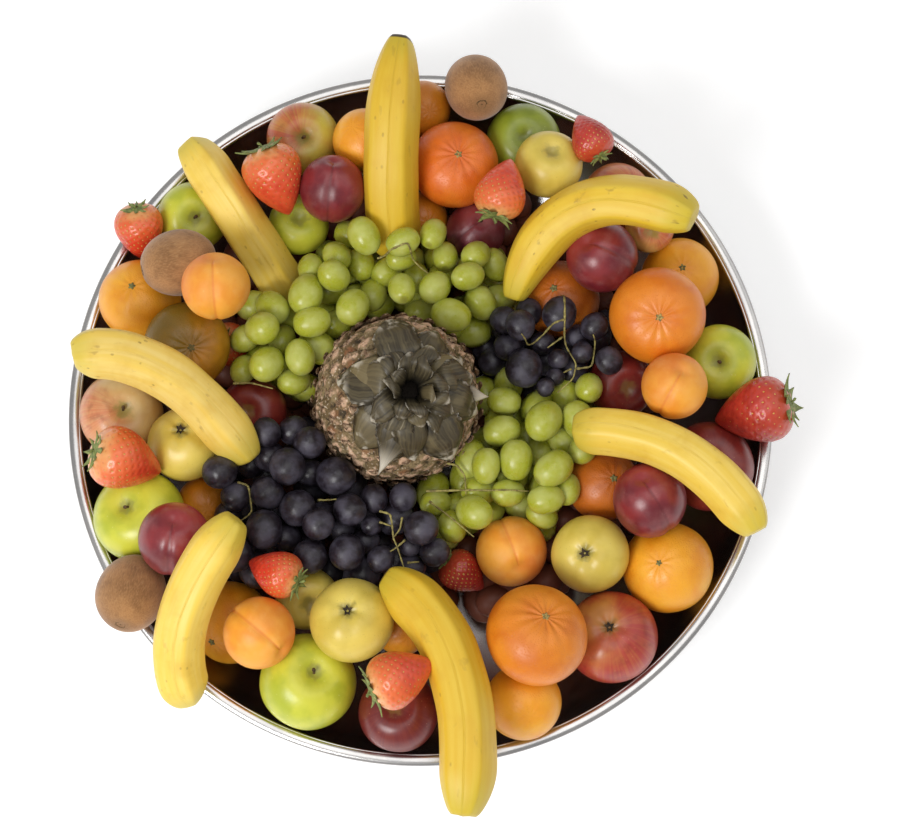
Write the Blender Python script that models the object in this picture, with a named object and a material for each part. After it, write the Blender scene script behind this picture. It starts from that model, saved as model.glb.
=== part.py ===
"""A heaped platter of whole fruit in a wide polished steel bowl.

Metres, +Z up. The origin is the middle of the bowl's flat foot, where it stands.
The heap is built as it lies: the bowl first, then each fruit in turn, let down from
above onto what is already there. A fruit's place is the pixel of the photograph where
its middle shows, and its size is a real one.
"""

import math
import random
from typing import NamedTuple

import bmesh
import bpy
from mathutils import Matrix, Vector
from mathutils.bvhtree import BVHTree

# The bowl
RIM_RADIUS = 0.270
RIM_HEIGHT = 0.080
LIP_WIDTH = 0.0085
LIP_DROP = 0.0035
STEEL = 0.0018
FOOT_RADIUS = 0.140
WALL_END_ANGLE = math.radians(76)
WALL_STEPS = 4
BOWL_SIDES = 44

# How the photograph looks at it: the picture's middle, the rim's middle and its width
PICTURE_MIDDLE = (450.0, 412.0)
BOWL_MIDDLE = (420.5, 411.6)
RIM_WIDTH_PX = 704.0
EYE_DISTANCE = 2.0
EYE_ELEVATION = math.radians(79)
SCALE = 2 * RIM_RADIUS / RIM_WIDTH_PX

# How finely things are cut into faces
FRUIT_SIDES = 9
FRUIT_RINGS = 6
GRAPE_SIDES = 6
GRAPE_RINGS = 4
BERRY_SIDES = 8
BERRY_RINGS = 5
FACET_SWELL = 1.02

# Touching pieces keep this much air between them
GAP = 0.0004
LIFT_STEP = 0.0003
DROP_START = 0.5


class Kind(NamedTuple):
    """The form of a round fruit, as shares of its width, and its skin."""

    colour: str
    roughness: float
    tall: float = 1.0
    stem_dip: float = 0.0
    stem_spread: float = 0.4
    eye_dip: float = 0.0
    eye_spread: float = 0.35
    shoulders: float = 0.0
    seam: float = 0.0


ORANGE = Kind("#F28A1A", 0.45, 0.97, 0.03, 0.25, 0.03, 0.25)
MANDARIN = Kind("#F06A12", 0.42, 0.84, 0.12, 0.40, 0.08, 0.35)
APRICOT = Kind("#F59A3C", 0.60, 0.98, 0.10, 0.30, 0.02, 0.25, 0.02, 0.05)
PLUM = Kind("#6E1F33", 0.38, 1.06, 0.12, 0.28, 0.03, 0.25, 0.02, 0.04)
RED_APPLE = Kind("#8E1F22", 0.30, 0.90, 0.30, 0.42, 0.16, 0.36, 0.05)
BLUSH_APPLE = Kind("#E2A271", 0.38, 0.88, 0.30, 0.42, 0.16, 0.36, 0.05)
GREEN_APPLE = Kind("#A6C626", 0.34, 0.88, 0.30, 0.42, 0.16, 0.36, 0.06)
YELLOW_APPLE = Kind("#D8CB4E", 0.42, 0.92, 0.22, 0.36, 0.12, 0.30, 0.03)
KIWI = Kind("#8A6B46", 0.90, 1.18, 0.03, 0.22, 0.03, 0.22)
GREEN_GRAPE = Kind("#B5C24A", 0.35, 1.26)
DARK_GRAPE = Kind("#3B3644", 0.45, 1.02)


class Fruit(NamedTuple):
    """One round fruit: where its middle and its visible end show, and its real width.

    The end is the stem unless eye_up says that the eye, its other end, shows instead.
    """

    name: str
    kind: Kind
    col: float
    row: float
    end_col: float
    end_row: float
    width: float
    eye_up: bool = False


class Banana(NamedTuple):
    """A banana: where its stem, middle and tip show, its real thickness, and its arch.

    An end is its thickness there and the share of the length over which it thins to it.
    """

    name: str
    stem: tuple
    middle: tuple
    tip: tuple
    width: float
    arch: float
    stem_end: tuple = (0.50, 0.13)
    tip_end: tuple = (0.45, 0.14)


class Bunch(NamedTuple):
    """A bunch of grapes: the line it lies along, its half widths and its level on top.

    The bed is the range of directions from the bowl's middle over which its hidden
    lower part lies.
    """

    name: str
    kind: Kind
    spine: tuple
    half_widths: tuple
    level: float
    width: float
    bed: tuple
    seed: int


# From the bottom of the heap to its top, in millimetres where a width is given
LOW_FRUIT = (
    Fruit("apple_blush_top", BLUSH_APPLE, 303, 141, 304, 143, 57),
    Fruit("orange_top_left", ORANGE, 364, 142, 352, 130, 50),
    Fruit("apple_green_upper_left", GREEN_APPLE, 193, 216, 199, 220, 54),
    Fruit("orange_left", ORANGE, 141, 301, 137, 288, 63),
    Fruit("orange_russet", MANDARIN, 187, 349, 197, 352, 66),
    Fruit("apple_blush_left", BLUSH_APPLE, 121, 415, 129, 408, 64),
    Fruit("apple_green_left", GREEN_APPLE, 139, 516, 126, 500, 70),
    Fruit("orange_lower_left", ORANGE, 231, 622, 214, 640, 63),
    Fruit("apple_green_bottom", GREEN_APPLE, 308, 683, 320, 665, 73),
    Fruit("apple_red_bottom", RED_APPLE, 400, 712, 396, 700, 60),
    Fruit("orange_bottom", ORANGE, 524, 702, 530, 714, 57),
    Fruit("apple_red_lower_right", RED_APPLE, 611, 636, 606, 620, 70, True),
    Fruit("orange_lower_right", ORANGE, 667, 568, 646, 558, 69, True),
    Fruit("orange_inner_right", ORANGE, 604, 485, 613, 477, 56),
    Fruit("apple_red_right", RED_APPLE, 709, 466, 715, 455, 68),
    Fruit("apple_green_right", GREEN_APPLE, 718, 362, 712, 362, 57),
    Fruit("orange_right", ORANGE, 679, 277, 678, 269, 60),
    Fruit("orange_inner_top", ORANGE, 561, 300, 552, 290, 60),
    Fruit("apple_blush_upper_right", BLUSH_APPLE, 617, 202, 640, 196, 60),
    Fruit("apple_green_top", GREEN_APPLE, 524, 141, 526, 138, 58),
    Fruit("plum_top", PLUM, 335, 204, 338, 178, 50),
    Fruit("apple_yellow_left", YELLOW_APPLE, 189, 449, 186, 431, 58, True),
)
MIDDLE_FRUIT = (
    Fruit("mandarin_top", MANDARIN, 455, 166, 460, 156, 68),
    Fruit("apple_yellow_top", YELLOW_APPLE, 548, 165, 552, 150, 52),
    Fruit("plum_upper_right", PLUM, 602, 258, 585, 246, 54),
    Fruit("mandarin_right", MANDARIN, 656, 317, 655, 321, 73),
    Fruit("apricot_right", APRICOT, 670, 396, 676, 380, 50),
    Fruit("plum_lower_right", PLUM, 650, 501, 640, 480, 55),
    Fruit("apple_yellow_right", YELLOW_APPLE, 590, 552, 581, 549, 59, True),
    Fruit("apricot_bottom", APRICOT, 512, 550, 520, 566, 54),
    Fruit("mandarin_bottom", MANDARIN, 536, 634, 546, 607, 76),
    Fruit("apple_yellow_bottom", YELLOW_APPLE, 352, 619, 348, 604, 63, True),
    Fruit("kiwi_lower_left", KIWI, 131, 594, 125, 619, 52),
    Fruit("plum_left", PLUM, 175, 541, 177, 522, 54),
    Fruit("apricot_lower_left", APRICOT, 259, 632, 284, 650, 54),
    Fruit("kiwi_upper_left", KIWI, 179, 262, 141, 271, 50),
    Fruit("apricot_upper_left", APRICOT, 218, 290, 217, 262, 51),
    Fruit("kiwi_top", KIWI, 476, 88, 481, 106, 49),
)
BANANAS = (
    Banana("banana_top", (401, 46), (391, 150), (393, 258), 40, 24, (0.40, 0.35), (0.50, 0.10)),
    Banana("banana_upper_left", (192, 148), (237, 217), (298, 303), 37, 22),
    Banana("banana_left", (254, 452), (165, 372), (77, 358), 39, 8, (0.50, 0.15), (0.50, 0.14)),
    Banana("banana_lower_left", (182, 709), (182, 620), (240, 522), 38, 10, (0.55, 0.12), (0.50, 0.12)),
    Banana("banana_bottom", (391, 575), (458, 668), (466, 811), 39, 12, (0.50, 0.16)),
    Banana("banana_right", (753, 529), (682, 450), (576, 420), 36, 8, (0.66, 0.12), (0.60, 0.10)),
    Banana("banana_upper_right", (500, 290), (580, 200), (695, 219), 38, 8, (0.48, 0.30), (0.55, 0.11)),
)
BERRIES = (
    Fruit("strawberry_top_left", None, 276, 181, 262, 144, 46),
    Fruit("strawberry_far_left", None, 133, 235, 140, 212, 38),
    Fruit("strawberry_top_right", None, 589, 138, 600, 160, 32),
    Fruit("strawberry_top", None, 502, 188, 493, 219, 39),
    Fruit("strawberry_right", None, 753, 412, 790, 403, 50),
    Fruit("strawberry_left", None, 128, 461, 97, 450, 47),
    Fruit("strawberry_lower_left", None, 273, 570, 298, 580, 35),
    Fruit("strawberry_bottom", None, 402, 676, 371, 690, 42),
    Fruit("strawberry_inner_bottom", None, 465, 571, 446, 556, 32),
)
BUNCHES = (
    Bunch(
        "grapes_green_top",
        GREEN_GRAPE,
        ((500, 300), (462, 284), (400, 270), (345, 282), (297, 312), (268, 345), (272, 372)),
        (15, 38, 44, 42, 42, 34, 26),
        0.128,
        24,
        (50, 180),
        3,
    ),
    Bunch(
        "grapes_green_right",
        GREEN_GRAPE,
        ((588, 390), (562, 425), (528, 458), (502, 490), (462, 516)),
        (16, 38, 48, 38, 14),
        0.120,
        25,
        (285, 362),
        11,
    ),
    Bunch(
        "grapes_dark_right",
        DARK_GRAPE,
        ((497, 330), (535, 340), (580, 344), (614, 358)),
        (26, 42, 40, 16),
        0.118,
        24,
        (5, 47),
        5,
    ),
    Bunch(
        "grapes_dark_left",
        DARK_GRAPE,
        ((292, 436), (262, 478), (282, 520), (340, 524), (395, 522), (440, 548)),
        (26, 52, 52, 48, 38, 16),
        0.124,
        28,
        (183, 282),
        8,
    ),
)

# The strawberry
BERRY_LENGTH = 1.22
BERRY_BLUNTNESS = 0.72
BERRY_SHOULDER = 0.60
SEPALS = 6
SEPAL_REACH = 0.62
SEPAL_NOTCH = 0.26
SEPAL_THICKNESS = 0.0022

# The banana: its sections from the stem's cut end to the blossom tip
BANANA_STATIONS = (0.0, 0.04, 0.12, 0.28, 0.5, 0.74, 0.88, 0.96, 1.0)
BANANA_ROUNDING = 0.7
BANANA_RIDGES = 6
BANANA_PITCHES = 13
BANANA_PITCH_LIMIT = math.radians(26)
BANANA_INNER_WEIGHT = 0.45

# The pineapple
CROWN_SEEN = (411, 390)
PINEAPPLE_WIDTH = 0.122
PINEAPPLE_HEIGHT = 0.168
PINEAPPLE_LEAN = (math.radians(6), math.radians(9))
PINEAPPLE_SIDES = 16
PINEAPPLE_RINGS = 8
PINEAPPLE_EYE_RELIEF = 0.0028
PINEAPPLE_END_SHARE = 0.50
CROWN_LEAVES = 13
CROWN_LEAF_WIDTH = 0.027
CROWN_LEAF_THICKNESS = 0.003
CROWN_REACH = 0.058
CROWN_RISE = 0.022
CROWN_HUB_RADIUS = 0.019
CROWN_SEED = 4
GOLDEN_ANGLE = math.pi * (3 - math.sqrt(5))

# The grapes and the lower part of a bunch, its bed
GRAPE_SPACING = 0.90
GRAPE_JITTER = 0.17
GRAPE_CLIMB = 0.045
BUNCH_CROWN = 0.014
BED_STEP = 0.016
BED_PROBES = 4
BED_RADIUS = 0.172
BED_LEVEL = 0.052
BED_LEAST = 0.012
STALK_RADIUS = 0.003
STALK_ROOT = 0.004
STALK_EVERY = 2

COLOURS = {"banana": "#E8C83A", "strawberry": "#D8402A", "pineapple": "#6B5A45"}


def clear_scene():
    """Removes every object of the scene."""
    for obj in list(bpy.data.objects):
        bpy.data.objects.remove(obj)


def linear(hex_colour):
    """The linear RGBA of an sRGB hex colour."""
    parts = [int(hex_colour[i : i + 2], 16) / 255 for i in (1, 3, 5)]
    return [((c + 0.055) / 1.055) ** 2.4 if c > 0.04 else c / 12.92 for c in parts] + [1.0]


def skin(name, colour, roughness, metallic=0.0):
    """A Principled material."""
    made = bpy.data.materials.new(name)
    made.use_nodes = True
    shader = made.node_tree.nodes["Principled BSDF"]
    shader.inputs["Base Color"].default_value = linear(colour)
    shader.inputs["Roughness"].default_value = roughness
    shader.inputs["Metallic"].default_value = metallic
    return made


def seen_place(col, row, height):
    """The point at this height that shows at this pixel of the photograph."""
    focal = EYE_DISTANCE / SCALE
    away = Vector((0, math.cos(EYE_ELEVATION), -math.sin(EYE_ELEVATION)))
    up = Vector((0, math.sin(EYE_ELEVATION), math.cos(EYE_ELEVATION)))
    right = Vector((1, 0, 0))
    aim = Vector((0, 0, RIM_HEIGHT))
    aim += right * (PICTURE_MIDDLE[0] - BOWL_MIDDLE[0]) * SCALE
    aim += Vector((0, 1, 0)) * (BOWL_MIDDLE[1] - PICTURE_MIDDLE[1]) * SCALE
    eye = aim - away * EYE_DISTANCE
    ray = away + right * (col - PICTURE_MIDDLE[0]) / focal
    ray -= up * (row - PICTURE_MIDDLE[1]) / focal
    return eye + ray * (height - eye.z) / ray.z


def seen_axis(fruit, radius):
    """The direction from a fruit's middle to the end of it that shows."""
    across = (fruit.end_col - fruit.col) * SCALE / radius
    along = (fruit.row - fruit.end_row) * SCALE / radius
    reach = math.hypot(across, along)
    if reach > 0.98:
        across, along = across * 0.98 / reach, along * 0.98 / reach
    toward = math.sqrt(1 - across**2 - along**2)
    up = Vector((0, math.sin(EYE_ELEVATION), math.cos(EYE_ELEVATION)))
    eye_side = Vector((0, -math.cos(EYE_ELEVATION), math.sin(EYE_ELEVATION)))
    return (Vector((1, 0, 0)) * across + up * along + eye_side * toward).normalized()


def turned(rings, top, bottom):
    """A closed mesh from rings of points, from the top down, between two poles."""
    mesh = bmesh.new()
    sides = len(rings[0])
    loops = [[mesh.verts.new(point) for point in ring] for ring in rings]
    head = mesh.verts.new(top)
    foot = mesh.verts.new(bottom)
    for i in range(sides):
        after = (i + 1) % sides
        mesh.faces.new((head, loops[0][i], loops[0][after]))
        mesh.faces.new((foot, loops[-1][after], loops[-1][i]))
        for upper, lower in zip(loops, loops[1:]):
            mesh.faces.new((upper[i], lower[i], lower[after], upper[after]))
    bmesh.ops.triangulate(mesh, faces=mesh.faces[:])
    bmesh.ops.recalc_face_normals(mesh, faces=mesh.faces[:])
    return mesh


def add_object(name, mesh, material):
    """A named object of a bmesh, shaded smooth, with its material."""
    data = bpy.data.meshes.new(name)
    mesh.to_mesh(data)
    mesh.free()
    data.shade_smooth()
    obj = bpy.data.objects.new(name, data)
    obj.data.materials.append(material)
    bpy.context.scene.collection.objects.link(obj)
    return obj


def keep_outer_surface(data):
    """Fills each hollow that a union has sealed and drops each loose scrap."""
    mesh = bmesh.new()
    mesh.from_mesh(data)
    islands = []
    left = set(mesh.verts)
    while left:
        island = {left.pop()}
        edge = list(island)
        while edge:
            near = {e.other_vert(v) for v in edge for e in v.link_edges} & left
            left -= near
            island |= near
            edge = list(near)
        islands.append(island)
    largest = max(islands, key=len)
    extra = [v for island in islands if island is not largest for v in island]
    bmesh.ops.delete(mesh, geom=extra, context="VERTS")
    mesh.to_mesh(data)
    mesh.free()


def fuse(obj, pieces):
    """Joins the pieces to obj in one Boolean union and removes them."""
    bin_for_pieces = bpy.data.collections.new(obj.name + "_pieces")
    bpy.context.scene.collection.children.link(bin_for_pieces)
    for piece in pieces:
        bpy.context.scene.collection.objects.unlink(piece)
        bin_for_pieces.objects.link(piece)
    union = obj.modifiers.new("union", "BOOLEAN")
    union.operation = "UNION"
    union.operand_type = "COLLECTION"
    union.collection = bin_for_pieces
    union.solver = "MANIFOLD"
    bpy.context.view_layer.update()
    graph = bpy.context.evaluated_depsgraph_get()
    joined = bpy.data.meshes.new_from_object(obj.evaluated_get(graph))
    obj.modifiers.clear()
    obj.data = joined
    for piece in pieces:
        bpy.data.objects.remove(piece)
    bpy.data.collections.remove(bin_for_pieces)
    keep_outer_surface(joined)


def round_radius(kind, width, theta, phi):
    """A round fruit's distance from its middle, theta down from its stem end."""
    dip = kind.stem_dip * math.exp(-((theta / kind.stem_spread) ** 2))
    dip += kind.eye_dip * math.exp(-(((math.pi - theta) / kind.eye_spread) ** 2))
    seam = kind.seam * math.exp(-(((phi - math.pi / 2) / 0.3) ** 2)) * math.sin(theta)
    return width / 2 * (1 - dip - seam) * (1 + kind.shoulders * math.cos(theta))


def round_mesh(kind, width, sides=FRUIT_SIDES, steps=FRUIT_RINGS):
    """A round fruit standing on its eye, its middle at the origin."""
    size = width * FACET_SWELL

    def point(theta, phi):
        away = round_radius(kind, size, theta, phi)
        flat = away * math.sin(theta)
        return Vector((flat * math.cos(phi), flat * math.sin(phi), away * math.cos(theta) * kind.tall))

    thetas = [math.pi * i / steps for i in range(1, steps)]
    phis = [2 * math.pi * i / sides for i in range(sides)]
    rings = [[point(theta, phi) for phi in phis] for theta in thetas]
    return turned(rings, point(0, 0), point(math.pi, 0))


def berry_mesh(width):
    """A strawberry with its leafy end up: blunt shoulders and a tapering tip."""
    length = width * BERRY_LENGTH
    rings = []
    for i in range(1, BERRY_RINGS + 1):
        share = (i / (BERRY_RINGS + 1)) ** 1.15
        radius = width / 2 * math.sin(math.pi * share**BERRY_SHOULDER) ** BERRY_BLUNTNESS * FACET_SWELL
        ring = []
        for k in range(BERRY_SIDES):
            phi = 2 * math.pi * k / BERRY_SIDES
            ring.append(Vector((radius * math.cos(phi), radius * math.sin(phi), length * (0.5 - share))))
        rings.append(ring)
    return turned(rings, Vector((0, 0, length * 0.48)), Vector((0, 0, -length / 2)))


def sepal_mesh(width):
    """The star of green leaves on a strawberry, lying over its shoulders."""
    top = width * BERRY_LENGTH / 2
    upper, lower = [], []
    for k in range(2 * SEPALS):
        phi = math.pi * k / SEPALS
        out = width * (SEPAL_REACH if k % 2 == 0 else SEPAL_NOTCH)
        height = top - 0.10 * width if k % 2 == 0 else top
        corner = Vector((out * math.cos(phi), out * math.sin(phi), height))
        upper.append(corner)
        lower.append(corner - Vector((0, 0, SEPAL_THICKNESS)))
    head = Vector((0, 0, top + 0.05 * width))
    return turned([upper, lower], head, Vector((0, 0, top - 0.16 * width)))


def bowl_profile():
    """The bowl's section: its inside from the middle out, its lip, and its outside."""
    reach = math.sin(WALL_END_ANGLE)
    rise = 1 - math.cos(WALL_END_ANGLE)
    inner_top = RIM_RADIUS - LIP_WIDTH
    angles = [WALL_END_ANGLE * i / WALL_STEPS for i in range(WALL_STEPS + 1)]
    inside = []
    outside = []
    for angle in angles:
        along = math.sin(angle) / reach
        up = (1 - math.cos(angle)) / rise
        inside.append((FOOT_RADIUS + (inner_top - FOOT_RADIUS) * along, STEEL + (RIM_HEIGHT - STEEL) * up))
        outer_top = inner_top + STEEL
        outside.append((FOOT_RADIUS + (outer_top - FOOT_RADIUS) * along, (RIM_HEIGHT - LIP_DROP) * up))
    lip = [
        (inner_top + 0.35 * LIP_WIDTH, RIM_HEIGHT + 0.0013),
        (RIM_RADIUS - 0.0012, RIM_HEIGHT + 0.0004),
        (RIM_RADIUS, RIM_HEIGHT - 0.5 * LIP_DROP),
        (RIM_RADIUS - 0.0012, RIM_HEIGHT - LIP_DROP - 0.0006),
    ]
    return inside + lip + outside[::-1]


def build_bowl(material):
    """The turned steel bowl."""
    rings = []
    for radius, height in bowl_profile():
        ring = []
        for i in range(BOWL_SIDES):
            phi = 2 * math.pi * i / BOWL_SIDES
            ring.append(Vector((radius * math.cos(phi), radius * math.sin(phi), height)))
        rings.append(ring)
    mesh = turned(rings, Vector((0, 0, STEEL)), Vector((0, 0, 0)))
    return add_object("bowl", mesh, material)


def pineapple_radius(share):
    """The barrel's radius at a share of its height."""
    bulge = abs(2 * share - 1) ** 2.8
    return PINEAPPLE_WIDTH / 2 * (1 - (1 - PINEAPPLE_END_SHARE) * bulge)


def build_pineapple(material):
    """The barrel with its studded rind and its short dry crown, from the crown's heart."""
    rings = []
    for j in range(PINEAPPLE_RINGS):
        share = 1 - (j + 0.25) / (PINEAPPLE_RINGS - 0.5)
        ring = []
        for i in range(PINEAPPLE_SIDES):
            phi = 2 * math.pi * i / PINEAPPLE_SIDES
            stud = PINEAPPLE_EYE_RELIEF if (i + j) % 2 else -PINEAPPLE_EYE_RELIEF
            radius = pineapple_radius(share) + stud
            height = (share - 1) * PINEAPPLE_HEIGHT
            ring.append(Vector((radius * math.cos(phi), radius * math.sin(phi), height)))
        rings.append(ring)
    body = turned(rings, Vector((0, 0, 0)), Vector((0, 0, -PINEAPPLE_HEIGHT)))
    pineapple = add_object("pineapple", body, material)
    leaves = [crown_leaf(k, material) for k in range(CROWN_LEAVES)]
    fuse(pineapple, leaves)
    return pineapple


def crown_leaf(k, material):
    """One leaf of the crown: it rises from the hub, bends out and hangs over the shoulder."""
    chance = random.Random(CROWN_SEED + k)
    phi = k * GOLDEN_ANGLE
    outer = (k + 1) / CROWN_LEAVES
    reach = CROWN_REACH * (0.62 + 0.38 * outer) * chance.uniform(0.9, 1.08)
    rise = CROWN_RISE * (1.35 - 0.75 * outer)
    out = Vector((math.cos(phi), math.sin(phi), 0))
    side = Vector((-math.sin(phi), math.cos(phi), 0))
    rings = []
    for share, wide in ((0.0, 0.62), (0.35, 1.0), (0.72, 0.62)):
        height = rise * math.sin(math.pi * min(1.0, share * 0.95 + 0.08)) - 0.006
        middle = out * (CROWN_HUB_RADIUS * (1 - share) + reach * share) + Vector((0, 0, height))
        half = CROWN_LEAF_WIDTH / 2 * wide
        curl = Vector((0, 0, 0.18 * half))
        keel = Vector((0, 0, -CROWN_LEAF_THICKNESS))
        edges = (middle + side * half + curl, middle - side * half + curl)
        rings.append([edges[0], middle + keel / 2, edges[1], middle + keel * 1.8])
    tip = out * reach + Vector((0, 0, rise * 0.10 - 0.006))
    root = out * (CROWN_HUB_RADIUS * 0.4) + Vector((0, 0, -0.016))
    return add_object(f"leaf_{k}", turned(rings, root, tip), material)


def banana_thickness(banana, share):
    """The thickness at a share of the length, as a share of the full one."""
    thick = 1.0
    for away, (end, length) in ((share, banana.stem_end), (1 - share, banana.tip_end)):
        grown = math.sin(math.pi / 2 * min(1.0, away / length)) ** BANANA_ROUNDING
        thick *= end + (1 - end) * grown
    return thick


def banana_mesh(banana):
    """A banana as it lies, its middle at the origin: six ridges round a bent line."""
    places = [seen_place(*point, RIM_HEIGHT + 0.02) for point in (banana.stem, banana.middle, banana.tip)]
    stem, middle, tip = (place - places[1] for place in places)
    bend = middle * 2 - (stem + tip) / 2
    arch = banana.arch / 1000
    width = banana.width / 1000
    rings = []
    for share in BANANA_STATIONS:
        left = 1 - share
        along = stem * left**2 + bend * 2 * share * left + tip * share**2
        along.z = arch * (1 - (2 * share - 1) ** 2) - arch
        way = (bend - stem) * left + (tip - bend) * share
        way.z = -arch * 2 * (2 * share - 1)
        way.normalize()
        flat = way.cross(Vector((0, 0, 1))).normalized()
        up = flat.cross(way)
        ring = []
        for i in range(BANANA_RIDGES):
            phi = 2 * math.pi * i / BANANA_RIDGES + math.pi / 2
            radius = width / 2 * banana_thickness(banana, share)
            ring.append(along + flat * radius * math.cos(phi) + up * radius * math.sin(phi))
        rings.append(ring)
    ends = [sum(ring, Vector()) / len(ring) for ring in (rings[0], rings[-1])]
    return turned(rings, ends[0], ends[1]), places[1]


class Heap:
    """What already lies in the bowl, as triangles, to let the next piece down on."""

    def __init__(self, pieces=()):
        self.pieces = dict(pieces)
        self.rebuild()

    def rebuild(self):
        """Joins the pieces into one tree of triangles."""
        self.points = []
        self.faces = []
        for points, faces in self.pieces.values():
            base = len(self.points)
            self.points += points
            self.faces += [tuple(base + i for i in face) for face in faces]
        self.tree = BVHTree.FromPolygons(self.points, self.faces) if self.faces else None

    def add(self, obj):
        """Adds a piece that has come to rest."""
        self.pieces[obj.name] = shape_of(obj)
        self.rebuild()

    def without(self, name):
        """The same heap with one piece left out."""
        return Heap((key, shape) for key, shape in self.pieces.items() if key != name)

    def level(self, x, y):
        """The height of the heap's top at a place, or None outside it."""
        hit = self.tree.ray_cast(Vector((x, y, DROP_START)), Vector((0, 0, -1)))[0]
        return hit.z if hit else None

    def highest(self, x, y, reach):
        """The heap's highest point within a square round a place."""
        probes = [reach * i / BED_PROBES for i in range(-BED_PROBES, BED_PROBES + 1)]
        found = [self.level(x + a, y + b) for a in probes for b in probes]
        found += [p.z for p in self.points if abs(p.x - x) < reach and abs(p.y - y) < reach]
        return max(z for z in found if z is not None)

    def fall(self, points, faces):
        """How far a piece held above the heap can come straight down."""
        down, up = Vector((0, 0, -1)), Vector((0, 0, 1))
        probes = list(points)
        for face in faces:
            corners = [points[i] for i in face]
            probes += [(a + b) / 2 for a, b in zip(corners, corners[1:] + corners[:1])]
        found = [self.tree.ray_cast(p, down)[3] for p in probes]
        own = BVHTree.FromPolygons(points, faces)
        xs = [p.x for p in points]
        ys = [p.y for p in points]
        box = (min(xs), max(xs), min(ys), max(ys))
        for p in self.points:
            if box[0] < p.x < box[1] and box[2] < p.y < box[3]:
                found.append(own.ray_cast(p, up)[3])
        least = min(d for d in found if d is not None)
        fall = least - GAP
        while self.touches(points, faces, fall):
            fall -= LIFT_STEP
        return fall

    def touches(self, points, faces, fall):
        """Whether a piece let down this far, and the gap more, cuts the heap."""
        lower = Vector((0, 0, -fall - GAP / 2))
        tree = BVHTree.FromPolygons([p + lower for p in points], faces)
        return bool(tree.overlap(self.tree))


def shape_of(obj):
    """The object's points and triangles where it stands."""
    obj.data.calc_loop_triangles()
    points = [obj.matrix_world @ v.co for v in obj.data.vertices]
    return points, [tuple(t.vertices) for t in obj.data.loop_triangles]


def let_down(heap, obj, place):
    """Lets obj down onto the heap at a place, and returns the height of its origin."""
    obj.location = (place.x, place.y, DROP_START)
    bpy.context.view_layer.update()
    points, faces = shape_of(obj)
    obj.location.z -= heap.fall(points, faces)
    bpy.context.view_layer.update()
    return obj.location.z


def settle(heap, obj, col, row):
    """Lets obj down where it shows at this pixel, which depends on how high it lies."""
    height = RIM_HEIGHT
    for _ in range(3):
        height = let_down(heap, obj, seen_place(col, row, height))
    heap.add(obj)


def place_fruit(heap, fruit, material):
    """Makes a round fruit and lets it down with its stem or eye where it shows."""
    width = fruit.width / 1000
    obj = add_object(fruit.name, round_mesh(fruit.kind, width), material)
    axis = seen_axis(fruit, width / 2)
    obj.rotation_euler = (-axis if fruit.eye_up else axis).to_track_quat("Z", "Y").to_euler()
    settle(heap, obj, fruit.col, fruit.row)


def place_berry(heap, fruit, material):
    """Makes a strawberry with its leaves and lets it down."""
    width = fruit.width / 1000
    obj = add_object(fruit.name, berry_mesh(width), material)
    fuse(obj, [add_object("sepals", sepal_mesh(width), material)])
    axis = seen_axis(fruit, width * 0.62)
    obj.rotation_euler = axis.to_track_quat("Z", "Y").to_euler()
    settle(heap, obj, fruit.col, fruit.row)


def place_banana(heap, banana, material):
    """Lets a banana down at the pitch in which its middle and its inner end lie lowest."""
    mesh, middle = banana_mesh(banana)
    obj = add_object(banana.name, mesh, material)
    stem, tip = (seen_place(*point, RIM_HEIGHT) for point in (banana.stem, banana.tip))
    across = (tip - stem).cross(Vector((0, 0, 1))).normalized()
    inner = min((tip, stem), key=lambda end: end.xy.length) - middle
    inner.z = 0
    best = None
    for i in range(BANANA_PITCHES):
        pitch = BANANA_PITCH_LIMIT * (2 * i / (BANANA_PITCHES - 1) - 1)
        obj.rotation_euler = Matrix.Rotation(pitch, 3, across).to_euler()
        height = let_down(heap, obj, middle)
        height += BANANA_INNER_WEIGHT * (obj.rotation_euler.to_matrix() @ inner).z
        if best is None or height < best[0]:
            best = (height, obj.rotation_euler.copy())
    obj.rotation_euler = best[1]
    bpy.context.view_layer.update()
    settle(heap, obj, *banana.middle)


def spine_point(bunch, share):
    """The place, the sideways direction and the half width at a share of a bunch's line."""
    along = share * (len(bunch.spine) - 1)
    i = min(int(along), len(bunch.spine) - 2)
    t = along - i
    ends = [seen_place(*bunch.spine[k], bunch.level) for k in (i, i + 1)]
    side = (ends[1] - ends[0]).cross(Vector((0, 0, 1))).normalized()
    half = bunch.half_widths[i] * (1 - t) + bunch.half_widths[i + 1] * t
    return ends[0].lerp(ends[1], t), side, half * SCALE


def grape_places(bunch):
    """Staggered places for the grapes that show, jittered, inside the bunch's outline."""
    chance = random.Random(bunch.seed)
    step = bunch.width / 1000 * GRAPE_SPACING
    line = [spine_point(bunch, i / 60) for i in range(61)]
    low = Vector((min(p.x - h for p, _, h in line), min(p.y - h for p, _, h in line), 0))
    high = Vector((max(p.x + h for p, _, h in line), max(p.y + h for p, _, h in line), 0))
    places = []
    for j in range(int((high.y - low.y) / (step * 0.87)) + 1):
        for i in range(int((high.x - low.x) / step) + 2):
            x = low.x + (i + 0.5 * (j % 2)) * step + chance.uniform(-1, 1) * GRAPE_JITTER * step
            y = low.y + j * step * 0.87 + chance.uniform(-1, 1) * GRAPE_JITTER * step
            turn = (chance.uniform(0, 2 * math.pi), chance.uniform(0.2, 1.2))
            near = [((Vector((x, y, 0)) - Vector((p.x, p.y, 0))).length / h) for p, _, h in line]
            if min(near) < 0.92:
                places.append((x, y, min(near), turn))
    return places


def without_corner_pairs(cells):
    """Takes out each square that meets another only at a corner."""
    for i, j in sorted(cells):
        for side in (-1, 1):
            if (i + side, j + 1) in cells and not {(i, j + 1), (i + side, j)} & cells:
                cells.discard((i, j))
    return cells


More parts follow.
